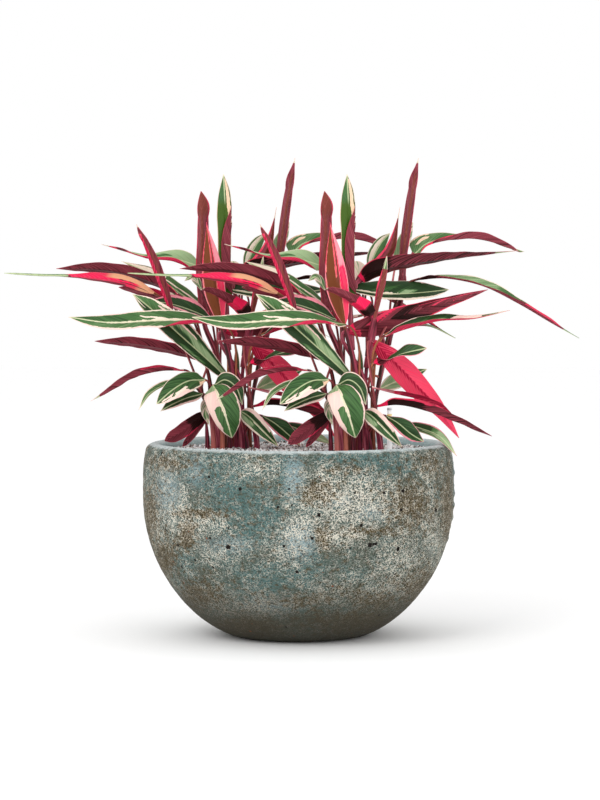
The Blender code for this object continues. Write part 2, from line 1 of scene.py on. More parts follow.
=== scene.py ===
"""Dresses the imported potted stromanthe: leaves, grit, glaze and gauge over the CAD solids.

The bowl stands on z = 0 with its axis on the origin, and the plants' front is towards -Y.
All lengths are metres unless a name says otherwise.
"""

import math
from collections import namedtuple
from functools import partial

import bpy
import numpy as np
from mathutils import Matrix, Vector, noise
from mathutils.bvhtree import BVHTree


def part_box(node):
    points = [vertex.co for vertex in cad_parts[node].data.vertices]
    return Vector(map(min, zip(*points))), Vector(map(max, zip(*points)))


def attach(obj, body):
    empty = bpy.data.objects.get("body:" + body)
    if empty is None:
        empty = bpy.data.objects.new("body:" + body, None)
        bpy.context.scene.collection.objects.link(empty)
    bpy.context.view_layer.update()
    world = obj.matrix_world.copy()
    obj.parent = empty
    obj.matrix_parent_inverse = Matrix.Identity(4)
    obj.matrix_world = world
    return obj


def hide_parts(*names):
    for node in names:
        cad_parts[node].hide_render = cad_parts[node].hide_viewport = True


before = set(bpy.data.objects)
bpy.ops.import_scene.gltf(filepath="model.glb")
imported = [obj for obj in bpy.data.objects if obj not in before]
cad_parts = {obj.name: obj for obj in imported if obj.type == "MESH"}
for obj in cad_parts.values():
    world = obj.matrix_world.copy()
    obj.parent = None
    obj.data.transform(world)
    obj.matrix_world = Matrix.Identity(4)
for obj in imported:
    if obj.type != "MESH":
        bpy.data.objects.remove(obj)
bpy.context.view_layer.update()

bl_info = {
    "name": "Potted stromanthe",
    "version": (1, 0, 0),
    "blender": (4, 5, 0),
    "location": "3D View > Sidebar > Stromanthe",
    "description": "Dresses two stromanthe plants in a weathered glazed bowl",
    "category": "Object",
}

# The bowl, as its solid has it.
BOWL_HEIGHT = 0.335
BOWL_RADIUS = 0.270
BELLY_HEIGHT = 0.250
FOOT_RADIUS = 0.106
WALL = 0.032
BOWL_FLOOR = 0.036
INSIDE_FOOT = 0.040
INSIDE_RADIUS = 0.095
GRIT_TOP = 0.3225
HOLE_DEPTH = 0.286

# The front layout sheet is what an eye in front of the plants sees. Its columns run to the right
# and its rows run down, in steps of one size where the bowl's axis is.
SHEET_STEP = 0.001736
SHEET_WIDTH = 600.0
SHEET_CENTRE = (300.0, 400.0)
FOOT_ROW = 449.0
EYE = Vector((0.0026, -5.0, 0.63))
AIM = Vector((0.0026, 0.0, 0.4085))

# The two plants share one layout. The left one stands a little further back.
PLANT_COLUMN = 350.0
PLANT_SHIFTS = {"right": (0.0, -0.050), "left": (-123.5, 0.050)}
PLANT_TURN = 0.35

# The solids' leaves, from which the bends are found.
SIX_ANGLES = [math.radians(150.0 - 60.0 * step) for step in range(6)]
STALK_RADIUS = 0.0044
STALK_TOP_RADIUS = 0.0030
GUARDED_RISE = 0.6
PETIOLE_RADIUS = 0.0019
PETIOLE_NECK = 0.0014
PETIOLE_RINGS = 3
LONG_STATIONS = (0.0, 0.09, 0.25, 0.44, 0.64, 0.84, 1.0)
SHORT_STATIONS = (0.0, 0.13, 0.38, 0.70, 1.0)
LONG_BLADE = 0.125
BLADE_EDGE = 0.0009
MIDRIB_START = 0.0026
MIDRIB_END = 0.0010
TIP_WIDTH = 0.0012
SPROUT_HIGHEST = 0.85
SPROUT_STEP = 0.17
STEM_RISE = 0.45
STEM_LEAN = 0.25
STEM_TOP_RISE = 0.6
PETIOLE_RISE = 0.45
PETIOLE_INTO = 0.30
PETIOLE_INTO_MOST = 0.05
SIDE_PULL = 0.7
STEM_BACK = 0.05
ROUTE_AHEAD = 0.04
SWING_CURVE = 1.2
BASE_ROUND = 0.8
BASE_FULL = 0.38
FOLD_BASE = (6.0, 0.15)
FOLD_TIP = 5.0
LIFT = 0.006
LIFT_INSIDE = 0.012
LIFT_OUTSIDE = 0.002
FREE_RING = 2
CLEAR_MARGIN = 0.0008
BEND_STEP = 0.007
BEND_STEPS = 12
SWING_STEP = 1.5
BOW_COST = 1.2
FORWARD_COST = 0.1
UPRIGHT = 1.2

# The dressed leaves are drawn this much finer: their rings, and the shares of a half's width.
FINE_PETIOLE = 9
FINE_BLADE = 48
HALF_WAY = (0.10, 0.22, 0.35, 0.48, 0.60, 0.72, 0.84, 0.95, 1.0)
ACROSS = np.array([*(-share for share in reversed(HALF_WAY)), 0.0, *HALF_WAY])
FLAT = np.abs(ACROSS)
STATION_EASE = 0.035
PROFILE_STEPS = 60
FOLD_WIDTH = 0.16
ARCH = 0.30
ARCH_FADES = (5.0, 6.0)
TIP_START = 0.72
TIP_DRAW = 0.45
LEAST_HALF_MM = 0.25
TURN_WIDTH = 0.0028
EDGE_THIN = 0.97
BEHIND_REACH = 0.35

# A blade's edge ripples in waves of these lengths, less where the blade is narrow.
WAVE_LENGTHS = (0.040, 0.062)
OTHER_WAVE = 1.13
RIPPLE_HALF = 0.014

# The midrib stands out below, by a height at its base and tip and with a width. Above is a groove,
# with its depth and width. The petiole swells into the blade's base.
FINE_RIB = (0.0012, 0.0004, 0.0014)
FINE_GROOVE = (0.0003, 0.0010)
NECK_FADE = 14.0
NECK_BELOW = 0.4
PETIOLE_SWELL = 0.35
PETIOLE_RUN_MM = 60.0

# A petiole is more golden than its stalk, unless it is sheathed, and each has its own lightness.
SHEATHED = 1.5
SHEATH_GOLD = 0.05
PETIOLE_GOLD = 0.25
PETIOLE_LIFTS = (0.35, 0.75)
STALK_LIFTS = (0.15, 1.0)

# Side veins slant forward from the rib, and bend more towards the edge.
VEIN_SLANT = 1.7
VEIN_CURVE = 0.9
SEED_STEP = 3.7
STEM_SEEDS = 7
STALK_SEED = 3

# The dressed stalks narrow at their waist and meet the petioles with a small swelling.
STALK_CORNERS = 12
STALK_LEVELS = 15
STALK_WAIST = 0.6
WAIST_RADIUS = 0.0036
STALK_SWELL = 1.35
STALK_OVAL = 0.07
STALK_THREE_SIDED = 0.05

# The finishes of a leafy stem, in the order of its materials, and the values they are painted by.
UPPER, UNDER, STALK = range(3)
PAINTED = ("pale", "tint", "lift", "warm", "vein", "place")

# The fine bowl: its columns round, its levels inside, over the rim and outside.
BOWL_COLUMNS = 400
INSIDE_LEVELS = 14
RIM_LEVELS = 15
OUTSIDE_LEVELS = 150
RIM_ROLL = 0.014
RIM_DRAW = 0.0085
RIM_CURVE = 3.2
BELLY_CURVES = (2.1, 0.67)
INSIDE_TOP = 0.312
INSIDE_DROP = 0.012
FLOOR_CURVE = 0.0166
OUTSIDE_DROP = 0.003
OUTSIDE_CROWD = 1.12
FOOT_ROUND = 0.0012
FLOOR_LEVELS = 2
FOOT_LEVELS = 3
PIT_DEPTH = 0.0011
PIT_NEAR = 5.0
PIT_FAR = 9.0
BACK_PITS = 40
BACK_PIT_HEIGHTS = (0.03, 0.30)
BACK_PIT_SIZES = (0.0015, 0.004)
BACK_PATCH_SCALE = 13.0
BACK_PATCH_STRENGTH = 0.8
FRONT_FADE = (-0.05, 0.25)
# Painted shade darkens the glaze from the foot up to this height.
FOOT_SHADE_TOP = 0.17
NEAR_AXIS = 0.0004
RIM_COUNT = 72
WALL_STEP = 0.0012
WALL_STEPS = 400

# The glaze's relief: its swells, lumps and fine grain, as (waves per m, shift, share).
RELIEF = (
    (22.0, (0.0, 0.0, 0.0), 0.55),
    (75.0, (3.0, 1.0, 7.0), 0.5),
    (190.0, (9.0, 4.0, 2.0), 0.35),
)

# The grit: its bed lies below the grit's top, and a grain's scatter and size are shares of the
# spacing. Its tilt is in radians.
BED_DEPTHS = (0.0110, 0.0016)
# The bed takes the darkest grit colour: painted shade for the gaps between grains.
BED_SHADE_TONE = 0.05
GRAIN_CLEARANCE = 0.002
GRAIN_SCATTER = 0.45
GRAIN_SIZES = (0.34, 0.64)
GRAIN_STRETCH = (0.6, 1.15)
GRAIN_TILT = 0.6
GRAIN_SINK = 0.0008
GRAIN_HEIGHTS = (-0.0012, 0.0008)

# The stage: the floor's half side, and each light's place, what it looks at and its side.
FLOOR_REACH = 14.0
KEY_LIGHT = ((-1.5, -2.4, 2.3), (0.0, 0.0, 0.4), 1.6)
FILL_LIGHT = ((1.5, -3.0, 1.1), (0.0, 0.0, 0.45), 2.2)
WHITE = (1.0, 1.0, 1.0)

# A leaf's route holds (column, row, depth in mm) from the blade's base to its tip. Its width and
# fold are the flat blade's width in mm and the degrees each half is raised. Its roll tells which
# side shows, in degrees at the base, middle and tip: 0 is the upper side to the front, 90 is the
# upper side to the sky and 180 is the underside to the front. A long tail has a high taper, and a
# rolled young leaf is widest near its tip.
Leaf = namedtuple("Leaf", "route width roll fold taper widest", defaults=(0.9, 0.38))

# A stem stands at (column, depth in mm) and rises to its top (column, row, depth in mm).
Stem = namedtuple("Stem", "base top colour leaves")

STEMS = {
    "16": Stem((381, -32), (376, 408, -34), "maroon", [
        Leaf([(374, 342, -26), (397, 364, -36), (418, 386, -44), (438, 408, -48), (459, 438, -50)],
             46, (170, 172, 172), 12, 0.75, 0.45),
        Leaf([(372, 387, -58), (394, 393, -64), (420, 399, -70), (440, 406, -74), (456, 418, -76)],
             22, (95, 112, 120), 20, 0.8),
    ]),
    "17": Stem((380, -58), (376, 425, -66), "maroon", [
        Leaf([(378, 406, -76), (400, 404.5, -84), (428, 411, -92), (460, 423, -98),
              (492, 436, -102)],
             36, (105, 118, 125), 26, 0.9),
    ]),
    "01": Stem((331, -16), (330, 425, -22), "maroon", [
        Leaf([(331, 413, -30), (318, 422, -42), (303, 433, -58), (288, 444, -70)],
             27, (175, 180, 180), 22),
        Leaf([(328, 421, -34), (322, 427, -38), (314, 437, -44), (306, 447, -50)],
             13, (180, 180, 180), 15),
    ]),
    "02": Stem((337, -32), (333, 402, -40), "green", [
        Leaf([(328, 380, -66), (312, 381, -80), (296, 390, -92), (280, 404, -100)],
             34, (25, 20, 10), 14, 0.7),
        Leaf([(326, 394, -52), (311, 398, -66), (297, 404, -78), (284, 411, -86)],
             30, (35, 40, 35), 16, 0.8),
        Leaf([(303, 380, -44), (286, 386, -52), (272, 395, -62), (262, 410, -72)],
             18, (55, 50, 30), 30),
        Leaf([(335, 403, -46), (330, 404, -53), (329, 413, -59), (333, 426, -62)],
             19, (0, 0, 0), 12),
    ]),
    "03": Stem((341, -8), (326, 392, -10), "maroon", [
        Leaf([(328, 361, 6), (298, 351, 0), (258, 343.5, -8), (218, 341, -14)],
             34, (130, 130, 135), 14, 0.62, 0.45),
        Leaf([(307, 370, -24), (284, 370.5, -38), (258, 377, -54), (236, 389, -68),
              (214, 401, -80)],
             30, (95, 120, 130), 25, 1.0),
        Leaf([(295, 315, -30), (284, 288, -38), (272, 257, -46), (260, 224, -52)],
             34, (150, 150, 155), 62, 0.9, 0.55),
    ]),
    "04": Stem((346, -36), (343, 404, -42), "green", [
        Leaf([(337, 386, -62), (341, 394, -84), (348, 413, -98), (355.5, 438, -98)],
             46, (5, 0, 0), 8, 0.62),
        Leaf([(338, 385, -56), (349, 380, -70), (360, 388, -80), (366, 405, -86)],
             30, (40, 20, 10), 10, 0.7),
    ]),
    "05": Stem((353, -28), (358, 392, -30), "green", [
        Leaf([(345, 325, -44), (312, 320, -58), (272, 321, -72), (232, 322.5, -80),
              (192, 317, -84)],
             44, (80, 62, 50), 22, 0.75),
        Leaf([(345, 325, -30), (338, 290, -34), (334, 255, -36), (330, 222, -36)],
             44, (180, 180, 180), 30, 1.0),
    ]),
    "06": Stem((350, 4), (352, 398, 4), "green", [
        Leaf([(353, 380, -14), (327, 356, -26), (299, 331, -32), (276, 310, -30), (256, 294, -24)],
             56, (15, 15, 20), 10, 0.85),
        Leaf([(336, 320, 2), (316, 311, -4), (294, 304, -8), (271, 301, -8)],
             38, (60, 55, 55), 18, 0.85),
    ]),
    "07": Stem((344, 15), (336, 392, 12), "maroon", [
        Leaf([(277, 293, -16), (252, 283, -24), (222, 278, -34), (194, 276, -42),
              (160, 275, -48), (127.5, 273, -52)],
             24, (150, 130, 85), 14, 1.9),
        Leaf([(301, 294, 6), (276, 282, 2), (245, 272.5, -4), (212, 268.5, -8),
              (179.5, 268.5, -12)],
             28, (125, 130, 135), 14, 0.75),
        Leaf([(300, 304, -4), (281, 297, -6), (261, 291, -8), (242, 287, -10)],
             26, (150, 145, 140), 20, 0.55),
    ]),
    "08": Stem((349, 31), (343, 370, 30), "maroon", [
        Leaf([(327, 318, 22), (325, 276, 24), (325.5, 234, 24), (324.5, 191, 22)],
             44, (180, 180, 178), 60, 0.62, 0.74),
        Leaf([(322, 266, 36), (298, 259, 40), (272, 258, 42), (248, 251, 42), (224.5, 244, 40)],
             36, (50, 85, 125), 24, 1.2),
        Leaf([(332, 311, 12), (306, 295, 12), (276, 275, 12), (245, 261, 14)],
             36, (50, 45, 40), 12, 0.9),
        Leaf([(325, 290, 30), (320, 281, 32), (315, 277, 34), (308, 281, 36)],
             16, (40, 30, 20), 10, 0.7),
    ]),
    "09": Stem((357, 14), (352, 350, 14), "maroon", [
        Leaf([(350, 302, 8), (348.5, 262, 10), (349, 220, 12), (347, 174, 12)],
             46, (150, 100, 35), 50, 0.7, 0.68),
        Leaf([(340, 322, 14), (329, 311, 14), (316, 303, 16), (303, 298, 18)],
             30, (165, 165, 160), 18, 0.8),
        Leaf([(351, 289, 12), (376, 289, 6), (410, 289, 2), (449, 289.5, -2)],
             48, (50, 48, 45), 16, 0.55),
    ]),
    "10": Stem((360, -12), (368, 356, -18), "maroon", [
        Leaf([(374, 318, -46), (378, 296, -52), (383, 274, -54), (387, 256, -54)],
             26, (165, 165, 150), 62, 0.9, 0.5),
        Leaf([(370, 313, -42), (357, 303, -50), (342, 294, -58), (326, 288, -64)],
             26, (150, 160, 150), 28, 0.7),
    ]),
    "11": Stem((364, 31), (367, 350, 32), "maroon", [
        Leaf([(369, 272, 20), (379, 258, 22), (389, 241, 24), (400, 207, 26)],
             38, (180, 180, 180), 45, 1.2),
        Leaf([(369, 272, 38), (374, 256, 44), (381, 243, 50), (390, 233, 54)],
             26, (0, 0, 0), 16, 0.7),
        Leaf([(366, 285, 52), (360, 276, 60), (356, 268, 66), (351, 261, 70)],
             26, (0, 0, 0), 8, 0.6),
    ]),
    "12": Stem((370, 35), (388, 345, 36), "maroon", [
        Leaf([(402, 292, 20), (404, 250, 22), (410, 208, 22), (418.5, 158, 20)],
             36, (180, 178, 175), 64, 0.85, 0.7),
        Leaf([(415, 254, 38), (428, 243, 44), (452, 238, 50), (482, 238.5, 54), (524, 251.5, 54)],
             44, (35, 65, 140), 26, 0.7),
        Leaf([(396, 264, 46), (400, 250, 54), (406, 236, 60), (413, 222, 62)],
             26, (10, 10, 10), 14, 0.7),
    ]),
    "13": Stem((372, 8), (383, 352, 8), "maroon", [
        Leaf([(361, 279, -10), (378, 270, -16), (408, 264, -20), (452, 258, -20),
              (518, 250.5, -16)],
             46, (150, 124, 112), 20, 0.95),
        Leaf([(420, 279, 4), (448, 278, -4), (484, 286, -14), (520, 304, -22), (552, 323, -26),
              (579, 338, -26)],
             24, (110, 75, 100), 34, 1.3),
        Leaf([(361, 380, -4), (360, 369, -8), (360, 358, -8), (360, 346, -6)],
             12, (20, 10, 0), 20, 0.8),
        Leaf([(380, 389, 20), (393, 383, 26), (410, 376, 32), (427, 369, 36)],
             30, (15, 20, 30), 14, 0.6),
    ]),
    "14": Stem((366, -30), (366, 392, -32), "green", [
        Leaf([(347, 331, -14), (368, 326, -22), (400, 316, -34), (438, 304, -46),
              (488, 289.5, -56)],
             44, (140, 128, 125), 16, 0.7, 0.42),
        Leaf([(408, 311, -40), (434, 305, -46), (462, 298, -52), (486, 290, -56)],
             26, (110, 105, 105), 16, 0.9),
    ]),
    "15": Stem((373, -17), (372, 384, -24), "green", [
        Leaf([(385, 336, -40), (408, 328, -46), (440, 320.5, -52), (474, 318.5, -56),
              (510, 310, -58)],
             34, (95, 88, 80), 30, 1.1),
        Leaf([(375, 363, -62), (386, 361, -74), (402, 354, -84), (427, 348, -92)],
             34, (150, 90, 25), 16, 0.6),
        Leaf([(392, 331, -22), (414, 326, -22), (432, 327, -22), (455, 338, -22)],
             14, (80, 80, 60), 20, 1.4),
    ]),
    "18": Stem((370, -46), (367, 428, -48), "green", [
        Leaf([(364, 411, -58), (373, 417, -74), (387, 431, -86), (402, 447, -90)],
             30, (5, 5, 5), 12, 0.7),
        Leaf([(386, 416, -58), (399, 424, -68), (411, 434, -76), (424, 447, -82)],
             25, (40, 25, 15), 24, 0.75),
        Leaf([(404, 424, -44), (422, 429, -58), (440, 437, -70), (457, 456, -80)],
             32, (62, 55, 40), 12, 0.9),
    ]),
}

# The hot pinks are partly painted light that shines through the thin leaf.
# How a leaf is coloured and drawn.
# pale is the share of each half, minus then plus, that is cream on the upper side, and hot the
# share that is pink on the underside. The plus half is to the right of a leaf that points up with
# its upper side to the front. blush turns cream to pink, sage turns dark green to pale green, glow
# turns crimson to hot pink, deep turns maroon to near black, and warm turns maroon to olive-brown.
# upper and under are the marks on the two sides.
# width, roll, fold and taper take the place of the solid leaf's own. minus and plus are the halves'
# drawn outlines, as (% of the length, mm) points that end in a fine tip, and halves draws the two
# at once, with one mm for both or one for each. A turn is (mm from the rib to a crease, degrees by
# which all beyond it is turned over). shift moves the rib sideways in mm, tail is the share from
# which a tail looks the same on both sides, sheath is how much thicker the petiole is, and behind
# is how far the base is set back in mm.
PLAIN_COAT = dict(pale=0.05, hot=0.03, blush=0.25, sage=0.35, glow=0.5, deep=0.35, warm=0.0,
                  upper=(), under=(), halves=(), sheath=1.0, behind=0.0, shift=0.0, tail=2.0)
FINE_TIP = (100, 0.4)
OUTLINE_SOFT = 0.03

# A mark covers a stretch of a leaf: its half, where it starts and ends in % of the length, its
# inner and outer side in % of the half's width, and its paint. A slant one runs with the veins.
Mark = namedtuple("Mark", "half start end inner outer paint run", defaults=("straight",))
MARK_SOFT = (0.03, 0.06)
PAST_RIB = -0.5
PAST_EDGE = 1.5
UNDER_LIFT = 0.7

# What a mark's paint sets: pale is 1 for cream or pink and 0 for green or maroon, tint is how pink
# or how hot, lift how light, and warm how peach, brown or leafy. Below 0, pale also takes the
# cream edge off, so that a dry tail is plain.
UPPER_PAINTS = {
    "dark": dict(pale=0.0, lift=0.0),
    "green": dict(pale=0.0, lift=0.35),
    "leafy": dict(pale=0.0, lift=0.30, warm=1.0),
    "sage": dict(pale=0.0, lift=0.95),
    "plain": dict(pale=-1.0, lift=0.75),
    "cream": dict(pale=1.0, tint=0.0),
    "peach": dict(pale=1.0, tint=0.1, warm=1.0),
    "blush": dict(pale=1.0, tint=0.45),
    "pink": dict(pale=1.0, tint=0.95),
}
UNDER_PAINTS = {
    "deep": dict(pale=-0.3, lift=-0.25),
    "maroon": dict(pale=0.0, lift=0.5),
    "crimson": dict(pale=1.0, tint=0.1),
    "rose": dict(pale=1.0, tint=0.55),
    "hot": dict(pale=1.0, tint=1.0),
    "shell": dict(pale=1.0, tint=1.7),
    "umber": dict(pale=0.0, lift=0.6, warm=0.55),
    "olive": dict(pale=0.0, lift=0.6, warm=1.0),
    "peach": dict(pale=1.0, tint=0.5, warm=1.0),
    "plain": dict(pale=-1.0, lift=0.75, warm=0.0),
}

